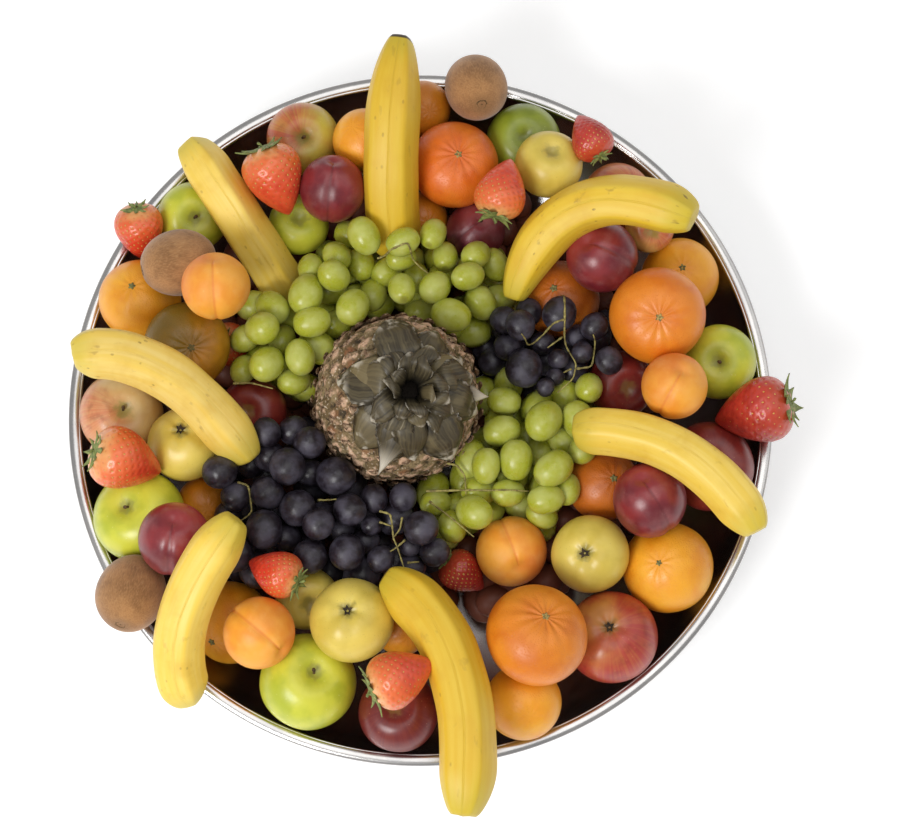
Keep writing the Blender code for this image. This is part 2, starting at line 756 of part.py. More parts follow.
def bed_cells(bunch, floor):
    """The squares under a bunch's part of the ring of fruit, clear of the pineapple."""
    cells = set()
    reach = int(BED_RADIUS / BED_STEP) + 1
    for i in range(-reach, reach):
        for j in range(-reach, reach):
            x, y = (i + 0.5) * BED_STEP, (j + 0.5) * BED_STEP
            turn = (math.degrees(math.atan2(y, x)) - bunch.bed[0]) % 360
            if turn > bunch.bed[1] - bunch.bed[0] or math.hypot(x, y) > BED_RADIUS:
                continue
            if max(floor((i + a, j + b)) for a in (0, 1) for b in (0, 1)) < BED_LEVEL - BED_LEAST:
                cells.add((i, j))
    return without_corner_pairs(cells)


def slab(cells, floor, level):
    """A closed slab over squares of the grid, from just clear of the heap to a level."""
    mesh = bmesh.new()
    made = {}

    def vertex(i, j, upper):
        key = (i, j, upper)
        if key not in made:
            height = level if upper else floor((i, j))
            made[key] = mesh.verts.new((i * BED_STEP, j * BED_STEP, height))
        return made[key]

    for i, j in sorted(cells):
        ring = ((i, j), (i + 1, j), (i + 1, j + 1), (i, j + 1))
        mesh.faces.new([vertex(*corner, True) for corner in ring])
        mesh.faces.new([vertex(*corner, False) for corner in ring[::-1]])
        beyond = ((i, j - 1), (i + 1, j), (i, j + 1), (i - 1, j))
        for first, second, cell in zip(ring, ring[1:] + ring[:1], beyond):
            if cell not in cells:
                ends = (vertex(*first, False), vertex(*second, False))
                mesh.faces.new((*ends, vertex(*second, True), vertex(*first, True)))
    bmesh.ops.dissolve_limit(mesh, angle_limit=0.001, verts=mesh.verts[:], edges=mesh.edges[:])
    bmesh.ops.triangulate(mesh, faces=mesh.faces[:])
    bmesh.ops.recalc_face_normals(mesh, faces=mesh.faces[:])
    return mesh


def lay_bed(heap, bunch, material):
    """Lays the hidden lower part of a bunch, which carries the fruit round the middle."""
    floors = {}

    def floor(corner):
        if corner not in floors:
            x, y = corner[0] * BED_STEP, corner[1] * BED_STEP
            floors[corner] = heap.highest(x, y, BED_STEP * 1.1) + 2 * GAP
        return floors[corner]

    mesh = slab(bed_cells(bunch, floor), floor, BED_LEVEL)
    bed = add_object(bunch.name, mesh, material)
    heap.add(bed)
    return bed


def stalk(x, y, top, material):
    """The stalk that carries a grape on the lower part of its bunch."""
    rings = []
    for height in (top, BED_LEVEL - STALK_ROOT):
        corners = ((-1, -1), (1, -1), (1, 1), (-1, 1))
        rings.append([Vector((x + a * STALK_RADIUS, y + b * STALK_RADIUS, height)) for a, b in corners])
    ends = (Vector((x, y, rings[0][0].z)), Vector((x, y, rings[1][0].z)))
    return add_object("stalk", turned(rings, *ends), material)


def place_bunch(heap, bunch, bed):
    """Lays a bunch's grapes on the heap or at its own level, and joins them to its bed."""
    pieces = []
    width = bunch.width / 1000
    material = bed.data.materials[0]
    others = heap.without(bunch.name)
    for x, y, outwards, (around, lean) in grape_places(bunch):
        mesh = round_mesh(bunch.kind, width, GRAPE_SIDES, GRAPE_RINGS)
        grape = add_object("grape", mesh, material)
        grape.rotation_euler = (0, lean, around)
        rest = let_down(heap, grape, Vector((x, y, 0)))
        level = bunch.level - width / 2 - BUNCH_CROWN * outwards**2
        if rest > level + GRAPE_CLIMB:
            bpy.data.objects.remove(grape)
            continue
        grape.location.z = max(rest, level)
        pieces.append(grape)
        wanted = len(pieces) % STALK_EVERY == 0
        if wanted and others.highest(x, y, 1.5 * STALK_RADIUS) < BED_LEVEL - 2 * STALK_ROOT:
            pieces.append(stalk(x, y, grape.location.z, material))
    fuse(bed, pieces)
    heap.add(bed)


def main():
    """Builds the bowl and fills it from the bottom up."""
    clear_scene()
    heap = Heap()
    bowl = build_bowl(skin("polished_steel", "#C9CBCC", 0.12, 1.0))
    heap.add(bowl)
    pineapple = build_pineapple(skin("pineapple_rind", COLOURS["pineapple"], 0.85))
    pineapple.rotation_euler = (PINEAPPLE_LEAN[0], PINEAPPLE_LEAN[1], 0)
    settle(heap, pineapple, *CROWN_SEEN)
    beds = []
    for bunch in BUNCHES:
        beds.append(lay_bed(heap, bunch, skin(bunch.name, bunch.kind.colour, bunch.kind.roughness)))
    for fruit in LOW_FRUIT + MIDDLE_FRUIT:
        place_fruit(heap, fruit, skin(fruit.name, fruit.kind.colour, fruit.kind.roughness))
    for banana in BANANAS:
        place_banana(heap, banana, skin(banana.name, COLOURS["banana"], 0.5))
    for berry in BERRIES:
        place_berry(heap, berry, skin(berry.name, COLOURS["strawberry"], 0.4))
    for bunch, bed in zip(BUNCHES, beds):
        place_bunch(heap, bunch, bed)


main()
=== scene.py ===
"""The looks of a heaped fruit bowl: real fruit forms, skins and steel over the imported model.

Every fruit takes the place of its plain solid. It is made in its own frame, stem up, turned
the way the photograph shows it, and set in the middle of the solid's box. All measures are
metres unless a name says otherwise.
"""

import logging
import math
import random
from dataclasses import dataclass, field
from enum import Enum
from itertools import product
from typing import Any, NamedTuple, Optional, Sequence

import bpy
import numpy as np
from mathutils import Euler, Matrix, Vector, noise
from mathutils.bvhtree import BVHTree

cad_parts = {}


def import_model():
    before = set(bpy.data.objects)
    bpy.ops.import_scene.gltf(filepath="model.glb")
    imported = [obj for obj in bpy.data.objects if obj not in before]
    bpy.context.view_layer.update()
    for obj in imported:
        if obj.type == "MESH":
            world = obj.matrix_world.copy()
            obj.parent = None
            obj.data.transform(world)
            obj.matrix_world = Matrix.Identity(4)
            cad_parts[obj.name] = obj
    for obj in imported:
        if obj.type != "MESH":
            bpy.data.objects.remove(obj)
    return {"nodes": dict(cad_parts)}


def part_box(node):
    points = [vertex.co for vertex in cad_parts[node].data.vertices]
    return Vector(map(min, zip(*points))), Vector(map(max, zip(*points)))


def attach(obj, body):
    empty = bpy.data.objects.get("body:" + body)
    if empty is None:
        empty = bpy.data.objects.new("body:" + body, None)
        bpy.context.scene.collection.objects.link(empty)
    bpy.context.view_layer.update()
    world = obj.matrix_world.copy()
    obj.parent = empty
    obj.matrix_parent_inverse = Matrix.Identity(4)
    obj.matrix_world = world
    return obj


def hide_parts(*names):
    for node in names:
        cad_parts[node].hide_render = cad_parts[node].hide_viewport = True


LOG = logging.getLogger("fruit_bowl")
MM = 0.001
GOLDEN_ANGLE = math.pi * (3 - math.sqrt(5))
Array = np.ndarray


# Small helpers


def linear(hex_colour: str) -> tuple[float, float, float, float]:
    """Turns an sRGB hex colour into linear RGBA.

    Args:
        hex_colour: The colour, as in "#E8C83A".

    Returns:
        The linear colour with full alpha.
    """
    parts = [int(hex_colour[i : i + 2], 16) / 255 for i in (1, 3, 5)]
    red, green, blue = (((c + 0.055) / 1.055) ** 2.4 if c > 0.04045 else c / 12.92 for c in parts)
    return (red, green, blue, 1.0)


def add_node(
    tree: bpy.types.NodeTree, kind: str, inputs: Optional[dict[Any, Any]] = None, **settings: Any
) -> bpy.types.Node:
    """Adds a node with its settings, values and links.

    Args:
        tree: The node tree to add to.
        kind: The node's type.
        inputs: Values or output sockets, by the name or number of the input.
        settings: The node's own properties.

    Returns:
        The new node.
    """
    made = tree.nodes.new(kind)
    for key, value in settings.items():
        setattr(made, key, value)
    for key, value in (inputs or {}).items():
        if isinstance(value, bpy.types.NodeSocket):
            tree.links.new(value, made.inputs[key])
        elif isinstance(value, str) and value.startswith("#"):
            made.inputs[key].default_value = linear(value)
        else:
            made.inputs[key].default_value = value
    return made


def smooth(values: Array, low: float, high: float) -> Array:
    """A smooth step from 0 at low to 1 at high."""
    t = np.clip((values - low) / (high - low), 0, 1)
    return t * t * (3 - 2 * t)


def round_turns(sides: int) -> Array:
    """Even turns round an axis, in radians."""
    return np.linspace(0, 2 * math.pi, sides, endpoint=False)


def ring(radii: Any, phis: Array, height: float) -> Array:
    """A ring of points at a height, with one radius or one for each turn."""
    return np.column_stack([radii * np.cos(phis), radii * np.sin(phis), np.full(len(phis), height)])


def standing(axis: Vector) -> Matrix:
    """The rotation that points a piece's own z along an axis."""
    return axis.to_track_quat("Z", "Y").to_matrix()


def lumps(points: Array, size: float, seed: int) -> Array:
    """Smooth unevenness, from -1 to 1, at each point.

    Args:
        points: The points, one a row.
        size: The width of a lump.
        seed: Moves the pattern.

    Returns:
        One value a point.
    """
    shift = Vector((seed * 7.13, seed * 3.71, seed * 1.97))
    return np.array([noise.noise(Vector(p) / size + shift) for p in points])


# Meshes as plain arrays


@dataclass
class Shape:
    """A mesh in the making: its points, faces, pattern coordinates and finish numbers."""

    points: Array
    faces: list[tuple[int, ...]]
    own: Array
    slots: list[int] = field(default_factory=list)
    shade: Optional[Array] = None

    def __post_init__(self) -> None:
        """Fills in the finish numbers and the shade where none are given."""
        self.slots = self.slots or [0] * len(self.faces)
        if self.shade is None:
            self.shade = np.zeros(len(self.points))

    def placed(self, turn: Matrix, shift: Sequence[float] = (0, 0, 0)) -> "Shape":
        """The same shape turned and then moved, with its pattern kept on it."""
        points = self.points @ np.array(turn).T + np.array(shift)
        return Shape(points, self.faces, self.own, self.slots, self.shade)

    def finished(self, slot: int) -> "Shape":
        """The same shape, all of it with one finish."""
        return Shape(self.points, self.faces, self.own, [slot] * len(self.faces), self.shade)

    @staticmethod
    def joined(shapes: Sequence["Shape"]) -> "Shape":
        """One shape of several.

        Args:
            shapes: The shapes to join.

        Returns:
            The joined shape.
        """
        faces: list[tuple[int, ...]] = []
        slots: list[int] = []
        base = 0
        for shape in shapes:
            faces += [tuple(base + i for i in face) for face in shape.faces]
            slots += shape.slots
            base += len(shape.points)
        return Shape(
            np.concatenate([shape.points for shape in shapes]),
            faces,
            np.concatenate([shape.own for shape in shapes]),
            slots,
            np.concatenate([shape.shade for shape in shapes]),
        )

    def mesh(self, name: str, finishes: Sequence[bpy.types.Material] = ()) -> bpy.types.Mesh:
        """Writes the shape to a smooth mesh.

        Args:
            name: The mesh's name.
            finishes: The materials, by finish number.

        Returns:
            The mesh.
        """
        made = bpy.data.meshes.new(name)
        made.from_pydata(self.points.tolist(), [], self.faces)
        made.attributes.new("own", "FLOAT_VECTOR", "POINT").data.foreach_set("vector", self.own.ravel())
        made.attributes.new("shade", "FLOAT", "POINT").data.foreach_set("value", self.shade)
        for finish in finishes:
            made.materials.append(finish)
        made.polygons.foreach_set("material_index", self.slots)
        made.shade_smooth()
        made.update()
        return made

    @staticmethod
    def read(mesh: bpy.types.Mesh) -> "Shape":
        """Reads a mesh that carries the pattern attributes back into a shape."""
        count = len(mesh.vertices)
        points, own, shade = np.empty(count * 3), np.zeros(count * 3), np.zeros(count)
        mesh.vertices.foreach_get("co", points)
        if "own" in mesh.attributes:
            mesh.attributes["own"].data.foreach_get("vector", own)
        if "shade" in mesh.attributes:
            mesh.attributes["shade"].data.foreach_get("value", shade)
        faces = [tuple(polygon.vertices) for polygon in mesh.polygons]
        return Shape(points.reshape(-1, 3), faces, own.reshape(-1, 3), [], shade)


def closed_skin(rings: Array, top: Sequence[float], bottom: Sequence[float]) -> Shape:
    """A closed skin over rings of points, from the top down.

    Args:
        rings: Points by ring and by place round it.
        top: The pole above the first ring.
        bottom: The pole below the last ring.

    Returns:
        The shape, with its pattern coordinates in its own frame.
    """
    count, sides = rings.shape[:2]
    points = np.concatenate([rings.reshape(-1, 3), [top], [bottom]])
    head, foot = count * sides, count * sides + 1
    faces: list[tuple[int, ...]] = []
    for i in range(sides):
        after = (i + 1) % sides
        faces.append((head, i, after))
        faces.append((foot, (count - 1) * sides + after, (count - 1) * sides + i))
        for j in range(count - 1):
            upper, lower = j * sides, (j + 1) * sides
            faces.append((upper + i, lower + i, lower + after, upper + after))
    return Shape(points, faces, points.copy())


def tube(path: Array, radii: Sequence[float], sides: int = 8) -> Shape:
    """A closed tube along a path, with a radius at each point of it.

    Args:
        path: The points of the middle line.
        radii: The radius at each point.
        sides: The number of sides.

    Returns:
        The shape.
    """
    ways = np.gradient(path, axis=0)
    ways /= np.linalg.norm(ways, axis=1)[:, None]
    aside = np.cross(ways[0], (0.3, 0.9, 0.2))
    phis = -round_turns(sides)
    rings = []
    for point, way, radius in zip(path, ways, radii):
        aside = aside - way * aside.dot(way)
        aside /= np.linalg.norm(aside)
        other = np.cross(way, aside)
        rings.append(point + radius * (np.outer(np.cos(phis), aside) + np.outer(np.sin(phis), other)))
    made = closed_skin(np.array(rings), path[0], path[-1])
    lengths = np.repeat(np.linspace(0, 1, len(path)), sides)
    made.own = np.column_stack([made.points[:, :2], np.append(lengths, (0.0, 1.0))])
    return made


def blade(middles: Array, sides: Array, widths: Sequence[float], thickness: float, cup: float) -> Shape:
    """A thin leaf along a line: two skins with a closed edge, cupped across.

    Args:
        middles: The points of its middle line, root first.
        sides: The sideways direction at each point.
        widths: The half width at each point.
        thickness: How thick it is along the middle.
        cup: How far its edges rise, as a share of the half width.

    Returns:
        The shape, whose own coordinates are across, along and nothing.
    """
    ways = np.gradient(middles, axis=0)
    ways /= np.linalg.norm(ways, axis=1)[:, None]
    ups = np.cross(sides, ways)
    ups /= np.linalg.norm(ups, axis=1)[:, None]
    shares = np.array([-1, -0.66, -0.33, 0, 0.33, 0.66, 1])
    rings, own = [], []
    for k, (middle, side, up, half) in enumerate(zip(middles, sides, ups, widths)):
        spread = np.concatenate([shares, shares[-2:0:-1]])
        lift = cup * half * spread**2
        lift[len(shares) :] -= thickness * (1 - spread[len(shares) :] ** 2)
        rings.append(middle + np.outer(spread * half, side) + np.outer(lift, up))
        own += [(s, k / (len(middles) - 1), 0) for s in spread]
    made = closed_skin(np.array(rings), middles[0], middles[-1] + 0.2 * thickness * ways[-1])
    made.own = np.array(own + [(0, 0, 0), (0, 1, 0)], dtype=float)
    return made


# Scattering by Geometry Nodes


class Scatter:
    """A Geometry Nodes tree that sets one small shape on many points and uneven copies of it."""

    def __init__(self) -> None:
        """Builds the tree with its named inputs."""
        tree = bpy.data.node_groups.new("scatter_pieces", "GeometryNodeTree")
        tree.is_modifier = True
        for name, kind in (
            ("Points", "NodeSocketGeometry"),
            ("Piece", "NodeSocketObject"),
            ("Unevenness", "NodeSocketFloat"),
            ("Dent", "NodeSocketFloat"),
            ("Dent size", "NodeSocketFloat"),
            ("Seed", "NodeSocketInt"),
            ("Finish", "NodeSocketMaterial"),
        ):
            tree.interface.new_socket(name=name, in_out="INPUT", socket_type=kind)
        tree.interface.new_socket(name="Pieces", in_out="OUTPUT", socket_type="NodeSocketGeometry")
        given = add_node(tree, "NodeGroupInput").outputs
        turn = add_node(tree, "GeometryNodeInputNamedAttribute", {"Name": "turn"}, data_type="FLOAT_VECTOR")
        size = add_node(tree, "GeometryNodeInputNamedAttribute", {"Name": "size"}, data_type="FLOAT_VECTOR")
        least = add_node(tree, "ShaderNodeMath", {0: 1.0, 1: given["Unevenness"]}, operation="SUBTRACT")
        most = add_node(tree, "ShaderNodeMath", {0: 1.0, 1: given["Unevenness"]}, operation="ADD")
        drawn = add_node(
            tree, "FunctionNodeRandomValue", {2: least.outputs[0], 3: most.outputs[0], 8: given["Seed"]}
        )
        scaled = add_node(
            tree, "ShaderNodeVectorMath", {0: size.outputs[0], "Scale": drawn.outputs[1]}, operation="SCALE"
        )
        shade = add_node(tree, "FunctionNodeRandomValue", {2: 0.0, 3: 1.0, 8: given["Seed"]})
        marked = add_node(
            tree,
            "GeometryNodeStoreNamedAttribute",
            {"Geometry": given["Points"], "Name": "shade", "Value": shade.outputs[1]},
            data_type="FLOAT",
        )
        turned = add_node(tree, "FunctionNodeEulerToRotation", {0: turn.outputs[0]})
        piece = add_node(tree, "GeometryNodeObjectInfo", {"Object": given["Piece"]})
        copies = add_node(
            tree,
            "GeometryNodeInstanceOnPoints",
            {
                "Points": marked.outputs[0],
                "Instance": piece.outputs["Geometry"],
                "Rotation": turned.outputs[0],
                "Scale": scaled.outputs[0],
            },
        )
        real = add_node(tree, "GeometryNodeRealizeInstances", {0: copies.outputs[0]})
        rough = add_node(tree, "ShaderNodeTexNoise", {"Scale": given["Dent size"], "Detail": 1.0})
        centred = add_node(
            tree,
            "ShaderNodeVectorMath",
            {0: rough.outputs["Color"], 1: (0.5, 0.5, 0.5)},
            operation="SUBTRACT",
        )
        pushed = add_node(
            tree, "ShaderNodeVectorMath", {0: centred.outputs[0], "Scale": given["Dent"]}, operation="SCALE"
        )
        dented = add_node(
            tree, "GeometryNodeSetPosition", {"Geometry": real.outputs[0], "Offset": pushed.outputs[0]}
        )
        dressed = add_node(
            tree, "GeometryNodeSetMaterial", {"Geometry": dented.outputs[0], "Material": given["Finish"]}
        )
        add_node(tree, "NodeGroupOutput", {0: dressed.outputs[0]})
        self.tree = tree

    def make(
        self,
        places: Array,
        turns: Array,
        sizes: Array,
        piece: Shape,
        finish: bpy.types.Material,
        unevenness: float = 0.0,
        dent: float = 0.0,
        dent_size: float = 40.0,
        seed: int = 1,
    ) -> Shape:
        """Sets the piece on each place and reads the result back.

        Args:
            places: Where the copies stand.
            turns: Their Euler angles.
            sizes: Their sizes along their own axes.
            piece: The shape to copy.
            finish: Their material.
            unevenness: How much their sizes differ.
            dent: How far their skins are pushed about.
            dent_size: How fine the dents are, in waves a metre.
            seed: The draw.

        Returns:
            All the copies as one shape.
        """
        data = bpy.data.meshes.new("places")
        data.from_pydata(places.tolist(), [], [])
        data.attributes.new("turn", "FLOAT_VECTOR", "POINT").data.foreach_set("vector", turns.ravel())
        data.attributes.new("size", "FLOAT_VECTOR", "POINT").data.foreach_set("vector", sizes.ravel())
        host = bpy.data.objects.new("places", data)
        model = bpy.data.objects.new("piece", piece.mesh("piece"))
        for obj in (host, model):
            bpy.context.scene.collection.objects.link(obj)
        values = {
            "Piece": model,
            "Unevenness": unevenness,
            "Dent": dent,
            "Dent size": dent_size,
            "Seed": seed,
            "Finish": finish,
        }
        modifier = host.modifiers.new("scatter", "NODES")
        modifier.node_group = self.tree
        for item in self.tree.interface.items_tree:
            if item.in_out == "INPUT" and item.name in values:
                modifier[item.identifier] = values[item.name]
        graph = bpy.context.evaluated_depsgraph_get()
        result = bpy.data.meshes.new_from_object(host.evaluated_get(graph))
        made = Shape.read(result)
        bpy.data.objects.remove(host)
        bpy.data.objects.remove(model)
        bpy.data.meshes.remove(result)
        return made


# How the photograph looks at the bowl


@dataclass(frozen=True)
class PhotoView:
    """The photograph's camera: nearly overhead, from the side of the longest banana."""

    picture: tuple[int, int] = (900, 824)
    bowl_middle: tuple[float, float] = (420.5, 411.6)
    rim_width_px: float = 704.0
    rim_radius: float = 0.270
    rim_height: float = 0.080
    distance: float = 2.0
    elevation: float = math.radians(79)

    @property
    def scale(self) -> float:
        """Metres a pixel at the rim."""
        return 2 * self.rim_radius / self.rim_width_px

    @property
    def away(self) -> Vector:
        """The direction in which it looks."""
        return Vector((0, math.cos(self.elevation), -math.sin(self.elevation)))

    @property
    def up(self) -> Vector:
        """The direction that points up in the picture."""
        return Vector((0, math.sin(self.elevation), math.cos(self.elevation)))

    @property
    def eye(self) -> Vector:
        """Where the camera stands."""
        middle = (self.picture[0] / 2, self.picture[1] / 2)
        across = (middle[0] - self.bowl_middle[0]) * self.scale
        along = (self.bowl_middle[1] - middle[1]) * self.scale
        return Vector((across, along, self.rim_height)) - self.away * self.distance

    def place(self, col: float, row: float, height: float) -> Vector:
        """The point at a height that shows at a pixel of the photograph.

        Args:
            col: The pixel's column.
            row: The pixel's row.
            height: The point's height.

        Returns:
            The point.
        """
        focal = self.distance / self.scale
        ray = self.away + Vector((1, 0, 0)) * (col - self.picture[0] / 2) / focal
        ray -= self.up * (row - self.picture[1] / 2) / focal
        return self.eye + ray * (height - self.eye.z) / ray.z

    def axis(self, lean_px: tuple[float, float], radius: float) -> Vector:
        """The direction from a fruit's middle to its end that shows.

        Args:
            lean_px: How far right and down of its middle that end shows.
            radius: The fruit's radius.

        Returns:
            The direction.
        """
        across, along = lean_px[0] * self.scale / radius, -lean_px[1] * self.scale / radius
        reach = math.hypot(across, along)
        if reach > 0.98:
            across, along = across * 0.98 / reach, along * 0.98 / reach
        toward = math.sqrt(1 - across**2 - along**2)
        return (Vector((1, 0, 0)) * across + self.up * along - self.away * toward).normalized()


VIEW = PhotoView()

# Made once the frame is loaded: the frame, the scatter tree, the solids and the shared finishes
FRAME: dict[str, Any]
SCATTER: Scatter
NEAR: "Neighbours"
BERRY_SEED: bpy.types.Material
BERRY_LEAF: bpy.types.Material
BRACT: bpy.types.Material
GRAPE_STALK: bpy.types.Material


# Finishes


class Step(Enum):
    """The shader nodes that skins are painted with: kind, inputs in use, output, settings."""

    MIX = ("ShaderNodeMix", (0, 6, 7), 2, {"data_type": "RGBA"})
    RISE = ("ShaderNodeMapRange", (0, 1, 2), 0, {"interpolation_type": "SMOOTHSTEP"})
    PLUS = ("ShaderNodeMath", (0, 1), 0, {"operation": "ADD"})
    MINUS = ("ShaderNodeMath", (0, 1), 0, {"operation": "SUBTRACT"})
    TIMES = ("ShaderNodeMath", (0, 1), 0, {"operation": "MULTIPLY"})
    TIMES_PLUS = ("ShaderNodeMath", (0, 1, 2), 0, {"operation": "MULTIPLY_ADD"})
    SIZE = ("ShaderNodeMath", (0,), 0, {"operation": "ABSOLUTE"})
    MORE = ("ShaderNodeMath", (0, 1), 0, {"operation": "MAXIMUM"})
    SINE = ("ShaderNodeMath", (0,), 0, {"operation": "SINE"})
    COSINE = ("ShaderNodeMath", (0,), 0, {"operation": "COSINE"})
    JOIN = ("ShaderNodeCombineXYZ", (0, 1, 2), 0, {})
    SPLIT = ("ShaderNodeSeparateXYZ", (0,), None, {})
    SHIFT = ("ShaderNodeVectorMath", (0, 1), 0, {"operation": "ADD"})
    STRETCH = ("ShaderNodeVectorMath", (0, 1), 0, {"operation": "MULTIPLY"})
    UNIT = ("ShaderNodeVectorMath", (0,), 0, {"operation": "NORMALIZE"})
    LENGTH = ("ShaderNodeVectorMath", (0,), 1, {"operation": "LENGTH"})
    ALONG = ("ShaderNodeVectorMath", (0, 1), 1, {"operation": "DOT_PRODUCT"})
    NOISE = ("ShaderNodeTexNoise", ("Vector", "Scale", "Detail"), 0, {})
    CELLS = ("ShaderNodeTexVoronoi", ("Vector", "Scale"), 0, {})
    BUMP = ("ShaderNodeBump", ("Distance", "Height"), 0, {})
    OWN = ("ShaderNodeAttribute", (), 1, {"attribute_name": "own"})
    SHADE = ("ShaderNodeAttribute", (), 2, {"attribute_name": "shade"})
    PLACE = ("ShaderNodeTexCoord", (), 3, {})


@dataclass(frozen=True)
class Brush:
    """Paints on one material's tree, with the patterns that fruit skins share."""

    tree: bpy.types.NodeTree

    def step(self, step: Step, *values: Any) -> Any:
        """Adds one step.

        Args:
            step: Which.
            values: Numbers, hex colours or sockets for its inputs.

        Returns:
            Its output, or all its outputs for a split.
        """
        kind, sockets, output, settings = step.value
        made = add_node(self.tree, kind, dict(zip(sockets, values)), **settings)
        return made.outputs if output is None else made.outputs[output]

    def grain(self, place: Any, size_mm: float, detail: float = 2.0, shift: float = 0.0) -> Any:
        """Noise with grains of this size on the fruit, with finer layers, at a shift."""
        moved = self.step(Step.SHIFT, place, (shift, shift * 0.7, -shift))
        return self.step(Step.NOISE, moved, 1 / (size_mm * MM), detail)

    def patches(self, place: Any, size_mm: float, low: float, high: float, shift: float = 0.0) -> Any:
        """Soft patches of this size: 0 where the noise is below low, 1 where it is above high."""
        return self.step(Step.RISE, self.grain(place, size_mm, 3, shift), low, high)

    def dots(self, place: Any, spacing_mm: float, size: float) -> Any:
        """Round dots, 1 inside, at about this spacing; size is their half width as a share of it."""
        away = self.step(Step.CELLS, place, 1 / (spacing_mm * MM))
        return self.step(Step.RISE, away, size, 0.4 * size)

    def streaks(self, place: Any, count: float, along: float = 14.0) -> Any:
        """Noise drawn out from stem to eye.

        Args:
            place: The coordinates on the fruit.
            count: How fine the streaks are round it.
            along: How much they change from stem to eye, in waves a metre.

        Returns:
            The noise.
        """
        parts = self.step(Step.SPLIT, place)
        ring = self.step(Step.UNIT, self.step(Step.JOIN, parts[0], parts[1], 0.0))
        turned = self.step(Step.SPLIT, self.step(Step.STRETCH, ring, (count, count, 0)))
        height = self.step(Step.TIMES, parts[2], along)
        return self.step(Step.NOISE, self.step(Step.JOIN, turned[0], turned[1], height), 1.0, 4.0)

    def side(self, place: Any, way: Sequence[float], low: float, high: float, uneven: Any) -> Any:
        """A mask over one side of a fruit, with a wavy edge.

        Args:
            place: The coordinates on the fruit.
            way: Where that side faces.
            low: How far towards it the mask begins, from -1 to 1.
            high: From where it is full.
            uneven: Noise that moves the edge.

        Returns:
            The mask.
        """
        toward = self.step(Step.ALONG, self.step(Step.UNIT, place), tuple(Vector(way).normalized()))
        moved = self.step(Step.PLUS, toward, self.step(Step.TIMES_PLUS, uneven, 0.9, -0.45))
        return self.step(Step.RISE, moved, low, high)

    def off_axis(self, place: Any) -> Any:
        """The distance from the fruit's own axis, in metres."""
        parts = self.step(Step.SPLIT, place)
        return self.step(Step.LENGTH, self.step(Step.JOIN, parts[0], parts[1], 0.0))

    def over(self, colour: Any, coat: Any, mask: Any, strength: float = 1.0) -> Any:
        """Lays a colour over another where a mask is, at this strength."""
        return self.step(Step.MIX, self.step(Step.TIMES, mask, strength), colour, coat)


@dataclass(frozen=True)
class Finish:
    """A Principled material whose colour, relief and gloss its subclass paints."""

    name: str
    roughness: float = 0.5
    coat: float = 0.0
    coat_roughness: float = 0.2
    sheen: float = 0.0
    subsurface: float = 0.0
    glow_depth: float = 0.004
    metallic: float = 0.0
    relief_mm: float = 0.1
    glow: float = 0.0

    def paint(self, brush: Brush, own: bpy.types.NodeSocket) -> dict[str, Any]:
        """Adds the pattern's nodes.

        Args:
            brush: Paints on the material's tree.
            own: The coordinates on the piece.

        Returns:
            The sockets or values for "colour", and where wanted "height" and "roughness".
        """
        raise NotImplementedError

    def make(self) -> bpy.types.Material:
        """Builds the material: the painted sockets are linked and the plain values set."""
        made = bpy.data.materials.new(self.name)
        made.use_nodes = True
        brush = Brush(made.node_tree)
        shader = made.node_tree.nodes["Principled BSDF"]
        painted = self.paint(brush, brush.step(Step.OWN))
        values = {
            "Roughness": painted.get("roughness", self.roughness),
            "Metallic": self.metallic,
            "Coat Weight": self.coat,
            "Coat Roughness": self.coat_roughness,
            "Sheen Weight": self.sheen,
            "Subsurface Weight": self.subsurface,
            "Subsurface Scale": self.glow_depth,
            "Subsurface Radius": (1.0, 0.7, 0.3),
            "Emission Color": linear("#FFFFFF"),
            "Emission Strength": self.glow,
            "Base Color": painted["colour"],
        }
        if "height" in painted:
            values["Normal"] = brush.step(Step.BUMP, self.relief_mm * MM, painted["height"])
        for key, value in values.items():
            if isinstance(value, bpy.types.NodeSocket):
                made.node_tree.links.new(value, shader.inputs[key])
            else:
                shader.inputs[key].default_value = value
        return made


